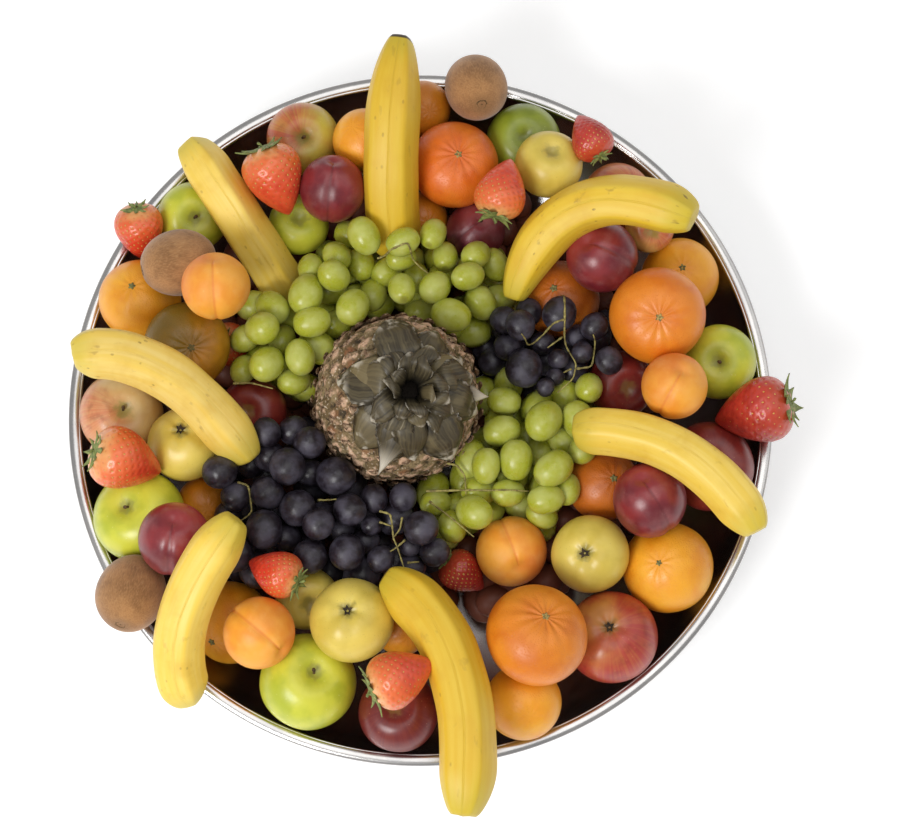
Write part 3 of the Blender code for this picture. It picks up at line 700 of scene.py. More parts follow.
@dataclass(frozen=True)
class AppleSkin(Finish):
    """Waxy apple skin: a ground colour, a soft streaked blush and pale lenticels.

    The wax gives a broad soft highlight; the streaks run from stem to eye.
    """

    ground: str = "#BFC33C"
    deep: str = "#A2AE2B"
    blush: str = "#B03028"
    blush_share: float = 0.0
    streak_share: float = 0.3
    sunny_side: tuple[float, float, float] = (0.3, 0.2, 0.6)
    dots: str = "#DADC98"
    dot_share: float = 0.4
    cavity: str = "#8A8440"
    cavity_mm: float = 9.0
    russet: float = 0.0
    roughness: float = 0.36
    coat: float = 0.2
    coat_roughness: float = 0.25
    subsurface: float = 0.06
    relief_mm: float = 0.10

    def paint(self, brush: Brush, own: bpy.types.NodeSocket) -> dict[str, Any]:
        """Paints ground, blush, streaks, lenticels, a darker olive round the stem and the eye, and russet dots
        where asked.
        """
        patchy = brush.grain(own, 24, 3)
        colour = brush.over(self.ground, self.deep, brush.step(Step.RISE, patchy, 0.35, 0.68))
        if self.blush_share:
            edge = 1 - 2 * self.blush_share
            mask = brush.side(own, self.sunny_side, edge - 0.45, edge + 0.45, patchy)
            streaks = brush.step(Step.RISE, brush.streaks(own, 13), 0.34, 0.66)
            share = brush.step(Step.TIMES_PLUS, streaks, self.streak_share, 1 - self.streak_share)
            colour = brush.over(colour, self.blush, brush.step(Step.TIMES, mask, share))
            dark = brush.step(Step.TIMES, mask, brush.patches(own, 9, 0.45, 0.75, 4))
            colour = brush.over(colour, "#5E1418", dark, 0.35)
        colour = brush.over(colour, self.dots, brush.dots(own, 4.6, 0.12), self.dot_share)
        wavy = brush.step(Step.TIMES_PLUS, brush.grain(own, 6, 4), 0.014, -0.007)
        out = brush.step(Step.PLUS, brush.off_axis(own), wavy)
        near = brush.step(Step.RISE, out, self.cavity_mm * MM, 0.35 * self.cavity_mm * MM)
        colour = brush.over(colour, self.cavity, near, 0.7)
        if self.russet:
            colour = brush.over(colour, "#8B7434", brush.dots(own, 2.6, 0.2), self.russet)
        rough = brush.step(Step.TIMES_PLUS, brush.grain(own, 9), 0.16, self.roughness - 0.08)
        return {"colour": colour, "height": brush.grain(own, 3.0, 3), "roughness": rough}


@dataclass(frozen=True)
class CitrusPeel(Finish):
    """Citrus peel: oil glands make fine pits, and the colour drifts from patch to patch."""

    ground: str = "#F2A828"
    deep: str = "#E89416"
    tinge: str = "#F5B83C"
    stain: Optional[str] = None
    stain_side: tuple[float, float, float] = (0, 0, 1)
    roughness: float = 0.42
    coat: float = 0.15
    coat_roughness: float = 0.32
    subsurface: float = 0.08
    relief_mm: float = 0.16
    pit_mm: float = 1.4

    def paint(self, brush: Brush, own: bpy.types.NodeSocket) -> dict[str, Any]:
        """Paints patches of colour, pits, and a stain where there is one."""
        patches = brush.grain(own, 22, 3)
        colour = brush.over(self.ground, self.deep, brush.step(Step.RISE, patches, 0.35, 0.68))
        colour = brush.over(colour, self.tinge, brush.patches(own, 30, 0.45, 0.75, 3), 0.6)
        near_star = brush.step(Step.RISE, brush.off_axis(own), 0.013, 0.003)
        colour = brush.over(colour, self.deep, near_star, 0.5)
        pits = brush.step(Step.RISE, brush.step(Step.CELLS, own, 1 / (self.pit_mm * MM)), 0.05, 0.45)
        colour = brush.over(colour, self.deep, brush.step(Step.MINUS, 1.0, pits), 0.15)
        if self.stain:
            stained = brush.side(own, self.stain_side, -0.25, 0.7, patches)
            colour = brush.over(colour, self.stain, stained, 0.8)
        height = brush.step(Step.TIMES_PLUS, brush.grain(own, 5), 1.2, pits)
        rough = brush.step(Step.TIMES_PLUS, brush.grain(own, 7), 0.16, self.roughness - 0.08)
        return {"colour": colour, "height": height, "roughness": rough}


@dataclass(frozen=True)
class StoneFruitSkin(Finish):
    """Skin of an apricot or a plum: a ground, a blush on one side and a dull bloom over it.

    The bloom is a fine wax that scatters light, so it lightens the skin and dulls its gloss.
    """

    ground: str = "#F2A83C"
    deep: str = "#EA952E"
    blush: str = "#E37E30"
    blush_share: float = 0.3
    sunny_side: tuple[float, float, float] = (0.5, -0.4, 0.3)
    bloom: str = "#F0BF78"
    bloom_share: float = 0.20
    # The crease colour is painted shade along the crease.
    crease: str = "#D9702C"
    speckle: str = "#C9683A"
    speckle_share: float = 0.12
    roughness: float = 0.55
    subsurface: float = 0.10
    relief_mm: float = 0.06

    def paint(self, brush: Brush, own: bpy.types.NodeSocket) -> dict[str, Any]:
        """Paints the ground, the blush, the bloom, fine speckles and painted shade along the crease."""
        patches = brush.grain(own, 20, 3)
        colour = brush.over(self.ground, self.deep, brush.step(Step.RISE, patches, 0.35, 0.65))
        edge = 1 - 2 * self.blush_share
        mask = brush.side(own, self.sunny_side, edge - 0.5, edge + 0.5, patches)
        colour = brush.over(colour, self.blush, mask, 0.9)
        haze = brush.patches(own, 12, 0.40, 0.72, 5)
        colour = brush.over(colour, self.bloom, haze, self.bloom_share)
        rubbed = brush.patches(own, 1.6, 0.56, 0.72, 8)
        colour = brush.over(colour, self.bloom, brush.step(Step.TIMES, rubbed, haze), 1.4 * self.bloom_share)
        colour = brush.over(colour, self.speckle, brush.dots(own, 2.8, 0.16), self.speckle_share)
        # A darker line along the crease on its upper side: painted shade.
        parts = brush.step(Step.SPLIT, own)
        line = brush.step(Step.RISE, brush.step(Step.SIZE, parts[0]), 1.6 * MM, 0.2 * MM)
        crease = brush.step(Step.TIMES, line, brush.step(Step.RISE, parts[1], 0.0, 6 * MM))
        colour = brush.over(colour, self.crease, crease, 0.4)
        rough = brush.step(Step.TIMES_PLUS, haze, 0.2, self.roughness - 0.08)
        return {"colour": colour, "height": brush.grain(own, 1.1, 2), "roughness": rough}


@dataclass(frozen=True)
class KiwiSkin(Finish):
    """Kiwi skin: thin brown skin under short fuzz, which dulls it and lightens its edges.

    The real fuzz is finer than a pixel, so its strokes are drawn about 1 mm wide.
    """

    ground: str = "#A8794A"
    deep: str = "#8A6038"
    roughness: float = 0.9
    sheen: float = 0.3
    relief_mm: float = 0.28

    def paint(self, brush: Brush, own: bpy.types.NodeSocket) -> dict[str, Any]:
        """Paints mottled brown with short strokes of fuzz along the fruit."""
        colour = brush.over(self.ground, self.deep, brush.patches(own, 16, 0.35, 0.68))
        strokes = brush.step(Step.STRETCH, own, (1.0, 1.0, 0.3))
        fuzz = brush.grain(strokes, 1.0, 4)
        colour = brush.over(colour, "#BE9566", brush.step(Step.RISE, fuzz, 0.45, 0.75), 0.35)
        colour = brush.over(colour, "#5F4428", brush.step(Step.RISE, fuzz, 0.50, 0.25), 0.35)
        ends = brush.step(Step.RISE, brush.off_axis(own), 0.012, 0.004)
        colour = brush.over(colour, "#6B4C2C", ends, 0.5)
        return {"colour": colour, "height": fuzz}


@dataclass(frozen=True)
class BananaPeel(Finish):
    """Ripe banana peel: waxy yellow, paler in streaks along its fibres and bruised in patches, with sugar spots.

    Its own coordinates are the turn round it, the share along it and a seed for its spots;
    its shade is 1 where the cut stem or the blossom end is dark.
    """

    ground: str = "#E2BA2A"
    pale: str = "#EACB4E"
    green: str = "#C6B434"
    spots: float = 0.45
    roughness: float = 0.48
    subsurface: float = 0.05
    relief_mm: float = 0.2

    def paint(self, brush: Brush, own: bpy.types.NodeSocket) -> dict[str, Any]:
        """Paints the peel from end to end, its fibres, spots, bruises and dark ends."""
        parts = brush.step(Step.SPLIT, own)
        across = brush.step(Step.TIMES, brush.step(Step.COSINE, parts[0]), 0.019)
        around = brush.step(Step.TIMES, brush.step(Step.SINE, parts[0]), 0.019)
        along = brush.step(Step.TIMES_PLUS, parts[1], 0.19, parts[2])
        place = brush.step(Step.JOIN, across, around, along)
        fibres = brush.grain(brush.step(Step.STRETCH, place, (1.0, 1.0, 0.06)), 5, 3)
        colour = brush.over(self.ground, self.pale, brush.step(Step.RISE, fibres, 0.30, 0.75), 0.6)
        colour = brush.over(colour, "#D0A022", brush.patches(place, 24, 0.45, 0.75, 6), 0.4)
        ends = brush.step(Step.SIZE, brush.step(Step.MINUS, parts[1], 0.5))
        uneven = brush.step(Step.PLUS, ends, brush.step(Step.TIMES_PLUS, fibres, 0.1, -0.05))
        colour = brush.over(colour, self.green, brush.step(Step.RISE, uneven, 0.34, 0.49), 0.6)
        drawn = brush.step(Step.STRETCH, place, (1.0, 1.0, 0.5))
        here = brush.patches(place, 20, 0.50, 0.60, 2)
        spots = brush.step(Step.TIMES, brush.dots(drawn, 7.0, 0.17), here)
        colour = brush.over(colour, "#6E4A1C", spots, self.spots)
        bruise = brush.patches(drawn, 7, 0.63, 0.74, 9)
        colour = brush.over(colour, "#8A6528", bruise, 0.6 * self.spots)
        dark = brush.step(Step.RISE, brush.step(Step.SHADE), 0.35, 0.65)
        colour = brush.over(colour, "#40301E", dark)
        height = brush.step(Step.TIMES_PLUS, brush.step(Step.PLUS, spots, bruise), -0.5, fibres)
        return {"colour": colour, "height": height}


@dataclass(frozen=True)
class BerrySkin(Finish):
    """Strawberry skin: glossy red that pales and yellows under the leaves.

    Its own z runs from the tip up, and its shade is the depth of the dimple round a seed.
    """

    ground: str = "#D8422A"
    deep: str = "#C43420"
    flush: str = "#E06A34"
    shoulder: str = "#E8AE6C"
    pale_from: float = 0.70
    roughness: float = 0.34
    coat: float = 0.25
    subsurface: float = 0.12
    relief_mm: float = 0.15

    def paint(self, brush: Brush, own: bpy.types.NodeSocket) -> dict[str, Any]:
        """Paints red that turns orange and then pale towards the leaves, with painted shade in the seed dimples."""
        parts = brush.step(Step.SPLIT, own)
        place = brush.step(Step.PLACE)
        patches = brush.grain(place, 10, 3)
        colour = brush.over(self.ground, self.deep, brush.step(Step.RISE, patches, 0.35, 0.65))
        height = brush.step(Step.PLUS, parts[2], brush.step(Step.TIMES_PLUS, patches, 0.5, -0.25))
        flush = brush.step(Step.RISE, height, self.pale_from - 0.8, self.pale_from)
        colour = brush.over(colour, self.flush, flush, 0.75)
        pale = brush.step(Step.RISE, height, self.pale_from, self.pale_from + 0.35)
        colour = brush.over(colour, self.shoulder, pale, 0.8)
        # The red is darker in the dimple round each seed: painted shade.
        dimple = brush.step(Step.SHADE)
        colour = brush.over(colour, "#A82A1C", brush.step(Step.RISE, dimple, 0.25, 1.0), 0.35)
        return {"colour": colour, "height": brush.grain(place, 1.4, 2)}


@dataclass(frozen=True)
class GrapeSkin(Finish):
    """Grape skin: thin and waxy, with a rubbed bloom; each grape has a shade of its own."""

    ground: str = "#A2A636"
    other: str = "#B9B94E"
    bloom: str = "#C9CE8C"
    bloom_share: float = 0.3
    end_dot: str = "#6B5A2C"
    relief_mm: float = 0.05

    def paint(self, brush: Brush, own: bpy.types.NodeSocket) -> dict[str, Any]:
        """Paints each grape's shade, its bloom and the brown dot at its free end."""
        place = brush.step(Step.PLACE)
        colour = brush.step(Step.MIX, brush.step(Step.SHADE), self.ground, self.other)
        bloom = brush.patches(place, 12, 0.38, 0.70)
        colour = brush.over(colour, self.bloom, bloom, self.bloom_share)
        rubbed = brush.patches(place, 2.6, 0.50, 0.72, 4)
        colour = brush.over(colour, self.bloom, rubbed, 0.4 * self.bloom_share)
        parts = brush.step(Step.SPLIT, own)
        colour = brush.over(colour, self.end_dot, brush.step(Step.RISE, parts[2], 0.955, 0.985), 0.85)
        rough = brush.step(Step.TIMES_PLUS, bloom, 0.25, self.roughness - 0.05)
        return {"colour": colour, "height": rubbed, "roughness": rough}


@dataclass(frozen=True)
class PineappleRind(Finish):
    """Pineapple rind: dry, woody and ragged, so it has no gloss; its deep brown seams are partly their own colour
    and partly painted shade.

    Its own x is the distance from an eye's middle, y the eye's draw and z the height.
    """

    roughness: float = 0.88
    relief_mm: float = 1.0

    def paint(self, brush: Brush, own: bpy.types.NodeSocket) -> dict[str, Any]:
        """Paints dry tan eyes with pale tops and dark seams, partly painted highlight and shade, rusty patches, and
        painted shade at the hollow heart.
        """
        parts = brush.step(Step.SPLIT, own)
        place = brush.step(Step.PLACE)
        rough = brush.grain(place, 7.0, 5)
        colour = brush.step(Step.MIX, parts[1], "#94805C", "#6E5A3A")
        colour = brush.over(colour, "#8A4A28", brush.patches(place, 18, 0.54, 0.70, 2), 0.55)
        ragged = brush.step(Step.PLUS, parts[0], brush.step(Step.TIMES_PLUS, rough, 1.4, -0.7))
        # Pale tan on the eye tops: partly the rind's own colour, partly a painted highlight.
        colour = brush.over(colour, "#D9B394", brush.step(Step.RISE, ragged, 0.56, 0.26), 0.9)
        fine = brush.grain(place, 2.2, 4)
        # Dark and pale flecks: partly the rind's own grain, partly painted shade and highlight on its roughness.
        colour = brush.over(colour, "#33261A", brush.step(Step.RISE, fine, 0.46, 0.34), 0.6)
        colour = brush.over(colour, "#EFDCC6", brush.step(Step.RISE, fine, 0.58, 0.70), 0.6)
        # The top round the hollow heart is painted near black: painted shade.
        colour = brush.over(colour, "#1A150F", brush.step(Step.RISE, parts[2], -0.012, -0.004))
        # Dark seams between the eyes: partly their own colour, partly painted shade.
        colour = brush.over(colour, "#2A2118", brush.step(Step.RISE, ragged, 0.70, 1.05), 0.85)
        return {"colour": colour, "height": brush.step(Step.TIMES_PLUS, fine, 0.6, rough)}


@dataclass(frozen=True)
class DryLeaf(Finish):
    """A dried crown leaf: leathery grey-brown with fine ribs; its ragged edge and tip are silvery, partly their own
    dried colour and partly a painted highlight.
    """

    ground: str = "#544A32"
    deep: str = "#332B1B"
    pale: str = "#DDD5C4"
    roughness: float = 0.55
    coat: float = 0.1
    relief_mm: float = 0.35

    def paint(self, brush: Brush, own: bpy.types.NodeSocket) -> dict[str, Any]:
        """Paints ribs along the leaf, blotches, pale edges, painted highlights on the ribs and painted shade
        towards the base.
        """
        parts = brush.step(Step.SPLIT, own)
        shade = brush.step(Step.SHADE)
        place = brush.step(Step.PLACE)
        across = brush.step(Step.TIMES, parts[0], 8.0)
        along = brush.step(Step.TIMES, parts[1], 1.4)
        lines = brush.step(Step.JOIN, across, along, brush.step(Step.TIMES, shade, 40.0))
        ribs = brush.step(Step.NOISE, lines, 1.0, 3.0)
        colour = brush.over(self.deep, self.ground, brush.step(Step.RISE, ribs, 0.32, 0.68))
        colour = brush.over(colour, "#74684A", brush.patches(place, 13, 0.52, 0.74, 3), 0.5)
        colour = brush.over(colour, "#9C8A5E", brush.step(Step.RISE, shade, 0.80, 0.98), 0.35)
        # Pale streaks on the highest ribs: painted highlight.
        colour = brush.over(colour, "#A79C84", brush.step(Step.RISE, ribs, 0.66, 0.80), 0.55)
        # Near black towards the base of each leaf: painted shade round the heart.
        colour = brush.over(colour, "#17130C", brush.step(Step.RISE, parts[1], 0.34, 0.0), 0.85)
        # Pale edges and tips: partly the leaf's own dried colour, partly painted highlight.
        edge = brush.step(Step.RISE, brush.step(Step.SIZE, parts[0]), 0.84, 1.0)
        tip = brush.step(Step.RISE, parts[1], 0.80, 1.0)
        tip = brush.step(Step.TIMES, tip, brush.patches(place, 8, 0.45, 0.60, 5))
        silver = brush.step(Step.TIMES, brush.step(Step.RISE, parts[1], 0.60, 0.92), parts[2])
        torn_edge_and_highlight = brush.step(Step.TIMES, edge, brush.patches(place, 7, 0.45, 0.62, 1))
        torn_edge_and_highlight = brush.step(Step.MORE, torn_edge_and_highlight, brush.step(Step.MORE, tip, silver))
        colour = brush.over(colour, self.pale, torn_edge_and_highlight, 0.85)
        return {"colour": colour, "height": ribs}


@dataclass(frozen=True)
class Plain(Finish):
    """A small dry or green part: two tones of one colour in patches and a fine relief."""

    first: str = "#7C8B3A"
    second: str = "#5C6E28"
    size_mm: float = 4.0
    relief_mm: float = 0.2

    def paint(self, brush: Brush, own: bpy.types.NodeSocket) -> dict[str, Any]:
        """Paints two tones in patches."""
        place = brush.step(Step.PLACE)
        colour = brush.over(self.first, self.second, brush.patches(place, self.size_mm, 0.35, 0.65))
        return {"colour": colour, "height": brush.grain(place, self.size_mm / 4)}


@dataclass(frozen=True)
class PolishedSteel(Finish):
    """Stainless steel, spun and polished: nearly a mirror, dulled a little by smears of use."""

    roughness: float = 0.22
    metallic: float = 1.0
    relief_mm: float = 0.02

    def paint(self, brush: Brush, own: bpy.types.NodeSocket) -> dict[str, Any]:
        """Paints smears into the gloss."""
        smears = brush.grain(own, 45, 4)
        rough = brush.step(Step.TIMES_PLUS, smears, 0.12, self.roughness - 0.05)
        colour = brush.over("#D2CFCC", "#BDBBBA", brush.step(Step.RISE, smears, 0.3, 0.7))
        return {"colour": colour, "roughness": rough}


# Putting pieces into the scene


def add_piece(
    name: str, shape: Shape, finishes: Sequence[bpy.types.Material], node: str = ""
) -> None:
    """Makes an object of a shape, and tells the frame what it rides on and stands for.

    Args:
        name: The piece's name.
        shape: Its shape, in place.
        finishes: Its materials, by finish number.
        node: The CAD node it replaces, if any.
    """
    obj = bpy.data.objects.new(name, shape.mesh(name, finishes))
    bpy.context.scene.collection.objects.link(obj)
    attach(obj, "root")
    if node:
        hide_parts(node)
    LOG.info("%s: %d points, %d faces", name, len(shape.points), len(shape.faces))


def centred_in(shape: Shape, turn: Matrix, node: str) -> np.ndarray:
    """How far a turned shape moves so that its box shares its middle with a node's box.

    Args:
        shape: The shape in its own frame.
        turn: Its rotation.
        node: The CAD node.

    Returns:
        The move.
    """
    points = shape.points @ np.array(turn).T
    low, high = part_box(node)
    return (np.array(low) + np.array(high)) / 2 - (points.min(axis=0) + points.max(axis=0)) / 2


# What a new piece keeps clear of


class Neighbours:
    """The solids that a new piece keeps clear of: the model's own and the fruit added here.

    A fruit without a solid tries these sizes, these levels over what carries it and these steps
    aside. A step aside, a smaller size and a higher level each cost something, in millimetres.
    """

    SIZES = (1.0, 0.94, 0.88, 0.82, 0.76)
    LEVELS_MM = range(0, 46, 3)
    STEPS_ASIDE = range(-5, 6)
    STEP_MM = 2.4
    SIZE_COST = 90
    LEVEL_COST = 0.25
    LEAST_MOVE = 1e-9

    def __init__(self) -> None:
        """Reads each node's triangles once."""
        self.solids = {}
        for name, obj in FRAME["nodes"].items():
            points = [vertex.co.copy() for vertex in obj.data.vertices]
            self.solids[name] = (points, [tuple(polygon.vertices) for polygon in obj.data.polygons])
        self.balls: list[tuple[Vector, float]] = []

    def tree(self, leave_out: Sequence[str] = ()) -> BVHTree:
        """One tree of all the solids' triangles.

        Args:
            leave_out: The nodes that the new piece replaces.

        Returns:
            The tree.
        """
        points: list[Vector] = []
        faces: list[tuple[int, ...]] = []
        for name, (corners, sides) in self.solids.items():
            if name not in leave_out:
                faces += [tuple(len(points) + i for i in side) for side in sides]
                points += corners
        return BVHTree.FromPolygons(points, faces)

    def push(self, tree: BVHTree, place: Vector, radius: float) -> Vector:
        """How far a ball moves to come clear of the nearest solid.

        Args:
            tree: The solids.
            place: The ball's middle.
            radius: Its radius.

        Returns:
            The move, which is nothing if it is clear.
        """
        near, normal, _, gap = tree.find_nearest(place)
        outside = (place - near).dot(normal) > 0
        for middle, reach in self.balls:
            away = place - middle
            if away.length - reach < (gap if outside else -gap):
                near, normal, gap, outside = middle, away.normalized(), away.length - reach, True
                if gap < 0:
                    return normal * (radius - gap)
        if outside and gap >= radius:
            return Vector((0, 0, 0))
        way = (place - near).normalized() if outside and gap > 1e-6 else normal
        return way * (radius - gap if outside else radius + gap)

    def is_clear(self, tree: BVHTree, place: Vector, radius: float) -> bool:
        """Tells whether a ball at a place touches no solid."""
        return self.push(tree, place, radius).length < self.LEAST_MOVE

    def room(self, seen_px: tuple[float, float], radius: float, lowest: float) -> tuple[Vector, float]:
        """Where a fruit fits, at the least cost, near the place where it shows.

        Args:
            seen_px: The pixel of its middle.
            radius: Its real radius.
            lowest: The height of what carries it.

        Returns:
            Its middle and the share of its size that fits.
        """
        tree = self.tree()
        best = (math.inf, Vector(), 1.0)
        for size, level in product(self.SIZES, self.LEVELS_MM):
            middle = VIEW.place(*seen_px, lowest + size * radius + level * MM)
            for i, j in product(self.STEPS_ASIDE, repeat=2):
                place = middle + Vector((i, j, 0)) * self.STEP_MM * MM
                cost = math.hypot(i, j) * self.STEP_MM + self.SIZE_COST * (1 - size) + self.LEVEL_COST * level
                if cost < best[0] and self.is_clear(tree, place, size * radius):
                    best = (cost, place, size)
        if math.isinf(best[0]):
            LOG.warning("no room at %s", seen_px)
        return best[1], best[2]


# Round fruit


class End(Enum):
    """Which end of a fruit shows in the photograph."""

    STEM = 1
    EYE = -1


@dataclass
class RoundFruit:
    """A round fruit on its stem axis, in the place of its solid.

    The lean is how far right and down of its middle the end that shows lies, in pixels.
    """

    node: str
    lean_px: tuple[float, float]
    width_mm: float
    finish: Finish
    slot: str
    end: End = End.STEM
    seed: int = 1
    tall: float = 0.9
    stem_dip: float = 0.1
    stem_spread: float = 0.35
    eye_dip: float = 0.05
    eye_spread: float = 0.3
    shoulders: float = 0.0
    seam: float = 0.0
    unevenness: float = 0.02
    seen_px: Optional[tuple[float, float]] = None
    carried_at: float = 0.050
    rings: int = 44
    sides: int = 64

    @property
    def radius(self) -> float:
        """Half its real width."""
        return self.width_mm * MM / 2

    def away(self, theta: Array, phi: Array) -> Array:
        """The distance of the skin from the middle, as a share of the radius.

        Args:
            theta: The angle down from the stem.
            phi: The turn round the axis; the seam is at a quarter turn.

        Returns:
            The distances.
        """
        dip = self.stem_dip * np.exp(-((theta / self.stem_spread) ** 2))
        dip = dip + self.eye_dip * np.exp(-(((math.pi - theta) / self.eye_spread) ** 2))
        turn = np.abs(phi - math.pi / 2)
        crease = self.seam * np.exp(-((turn / 0.13) ** 2)) * np.sin(theta) ** 0.6
        return (1 - dip - crease) * (1 + self.shoulders * np.cos(theta))

    def skin(self) -> Shape:
        """The fruit's skin in its own frame, stem up."""
        share = (np.arange(self.rings) + 1) / (self.rings + 1)
        theta = math.pi * (share - 0.07 * np.sin(2 * math.pi * share))
        phi = round_turns(self.sides)
        thetas, phis = np.meshgrid(theta, phi, indexing="ij")
        away = self.away(thetas, phis) * self.radius
        flat = away * np.sin(thetas)
        up = away * np.cos(thetas) * self.tall
        rings = np.stack([flat * np.cos(phis), flat * np.sin(phis), up], axis=-1)
        poles = [self.away(np.array(t), np.array(0.0)) * self.radius * self.tall for t in (0.0, math.pi)]
        made = closed_skin(rings, (0, 0, poles[0]), (0, 0, -poles[1]))
        lumpy = 1 + self.unevenness * lumps(made.points, 1.1 * self.radius, self.seed)
        made.points *= lumpy[:, None]
        made.own = made.points.copy()
        return made

    def details(self) -> tuple[list[Shape], list[bpy.types.Material]]:
        """The small parts on the fruit in its own frame, and their finishes."""
        return [], []

    def turn(self) -> Matrix:
        """Its rotation: the end that shows points where the photograph has it."""
        return standing(VIEW.axis(self.lean_px, self.radius) * self.end.value)

    def build(self) -> None:
        """Makes the fruit as one piece, in its node's place or where there is room for it."""
        turn = self.turn()
        if self.seen_px:
            place, size = NEAR.room(self.seen_px, self.radius * max(1.0, self.tall), self.carried_at)
            NEAR.balls.append((place, size * self.radius))
            self.width_mm *= size
        skin = self.skin()
        parts, finishes = self.details()
        shift = place if self.seen_px else centred_in(skin, turn, self.node)
        shape = Shape.joined([skin] + [part.finished(k + 1) for k, part in enumerate(parts)])
        finishes = [self.finish.make()] + finishes
        node = "" if self.seen_px else self.node
        add_piece(self.node + "_skin", shape.placed(turn, shift), finishes, node)


def stem_shape(base: float, length: float, width: float, bend: float) -> Shape:
    """A short woody stem that stands up from a fruit, with a wider cut end."""
    share = np.linspace(0, 1, 7)
    path = np.column_stack([bend * share**2, 0.3 * bend * share, base + length * share])
    radii = width / 2 * np.array([1.1, 0.85, 0.75, 0.75, 0.85, 1.15, 0.9])
    return tube(path, radii)


@dataclass
class Apple(RoundFruit):
    """An apple: a deep stem cavity, a puckered eye and five faint lobes."""

    slot: str = "apple_green_skin"
    tall: float = 0.88
    stem_dip: float = 0.30
    stem_spread: float = 0.40
    eye_dip: float = 0.17
    eye_spread: float = 0.34
    shoulders: float = 0.055
    lobes: float = 0.02
    stem_mm: float = 0.0

    def away(self, theta: Array, phi: Array) -> Array:
        """Adds the lobes, strongest round the eye."""
        ripple = self.lobes * np.cos(5 * phi) * smooth(np.asarray(theta), 1.2, 2.7)
        return super().away(theta, phi) + ripple

    def details(self) -> tuple[list[Shape], list[bpy.types.Material]]:
        """The stem in its cavity and the dry sepals in the eye."""
        parts, finishes = [], []
        if self.stem_mm:
            bottom = (1 - self.stem_dip) * (1 + self.shoulders) * self.radius * self.tall
            parts.append(stem_shape(bottom - 2 * MM, self.stem_mm * MM + 2 * MM, 2.6 * MM, 2 * MM))
            finishes.append(Plain("apple_stem", 0.8, first="#6B5230", second="#3E2F1B").make())
        pit = -(1 - self.eye_dip) * (1 - self.shoulders) * self.radius * self.tall
        sepals = []
        for k in range(5):
            phi = 2 * math.pi * (k + 0.3 * (k % 2)) / 5
            out = np.array([math.cos(phi), math.sin(phi), 0])
            share = np.linspace(0, 1, 5)[:, None]
            rise = pit - 0.4 * MM - 1.8 * MM * share**0.6
            middles = out * (0.8 * MM + 3.4 * MM * share) + np.array([0, 0, 1]) * rise
            sides = np.tile(np.cross(out, (0, 0, -1)), (5, 1))
            sepals.append(blade(middles, sides, np.array([1.3, 1.5, 1.1, 0.6, 0.15]) * MM, 0.5 * MM, 0.3))
        parts.append(Shape.joined(sepals))
        finishes.append(Plain("dry_sepals", 0.9, first="#4A3B26", second="#2C2318").make())
        return parts, finishes


@dataclass
class Citrus(RoundFruit):
    """An orange or a mandarin: slightly flat, with furrows that run to its star-shaped button."""

    slot: str = "orange_peel"
    tall: float = 0.97
    stem_dip: float = 0.04
    stem_spread: float = 0.22
    eye_dip: float = 0.03
    eye_spread: float = 0.2
    furrows: float = 0.006
    furrow_count: int = 10
    unevenness: float = 0.025
    button_mm: float = 2.6
    button: str = "#8C8A52"

    def away(self, theta: Array, phi: Array) -> Array:
        """Adds the furrows, which die out away from the stem."""
        near = np.exp(-((np.asarray(theta) / 0.75) ** 2)) * smooth(np.asarray(theta), 0.02, 0.25)
        waves = np.cos(self.furrow_count * phi + self.seed) + 0.5 * np.sin((self.furrow_count - 3) * phi)
        return super().away(theta, phi) - self.furrows * near * (1 + waves)

    def details(self) -> tuple[list[Shape], list[bpy.types.Material]]:
        """The button: a small star of five points with a scar in its middle."""
        if not self.button_mm:
            return [], []
        height = (1 - self.stem_dip) * self.radius * self.tall
        phis = round_turns(20)
        star = 1 + 0.28 * np.cos(5 * phis)
        rings = []
        for wide, up in ((0.35, 0.35), (0.6, 0.75), (1.0, 0.35), (0.9, -0.9)):
            rings.append(ring(self.button_mm * MM * wide * star, phis, height + up * MM))
        top = closed_skin(np.array(rings), (0, 0, height - 0.1 * MM), (0, 0, height - 1.5 * MM))
        return [top], [Plain("citrus_button", 0.8, first=self.button, second="#5F5A34", size_mm=1.5).make()]


@dataclass
class StoneFruit(RoundFruit):
    """A plum or an apricot: a crease down one side and a small deep stem hole."""

    slot: str = "plum_skin"
    tall: float = 1.04
    stem_dip: float = 0.12
    stem_spread: float = 0.24
    eye_dip: float = 0.02
    eye_spread: float = 0.25
    shoulders: float = 0.02
    seam: float = 0.07
    scar_mm: float = 1.5

    def details(self) -> tuple[list[Shape], list[bpy.types.Material]]:
        """The dry scar at the bottom of the stem hole."""
        if not self.scar_mm:
            return [], []
        height = (1 - self.stem_dip) * (1 + self.shoulders) * self.radius * self.tall
        path = [(0, 0, height - 1.0 * MM), (0, 0, height + 0.2 * MM), (0.1 * MM, 0, height + 0.5 * MM)]
        scar = tube(np.array(path), np.array([1.05, 1.0, 0.6]) * self.scar_mm * MM, 10)
        return [scar], [Plain("stem_scar", 0.9, first="#5A3E22", second="#33241A", size_mm=1.5).make()]


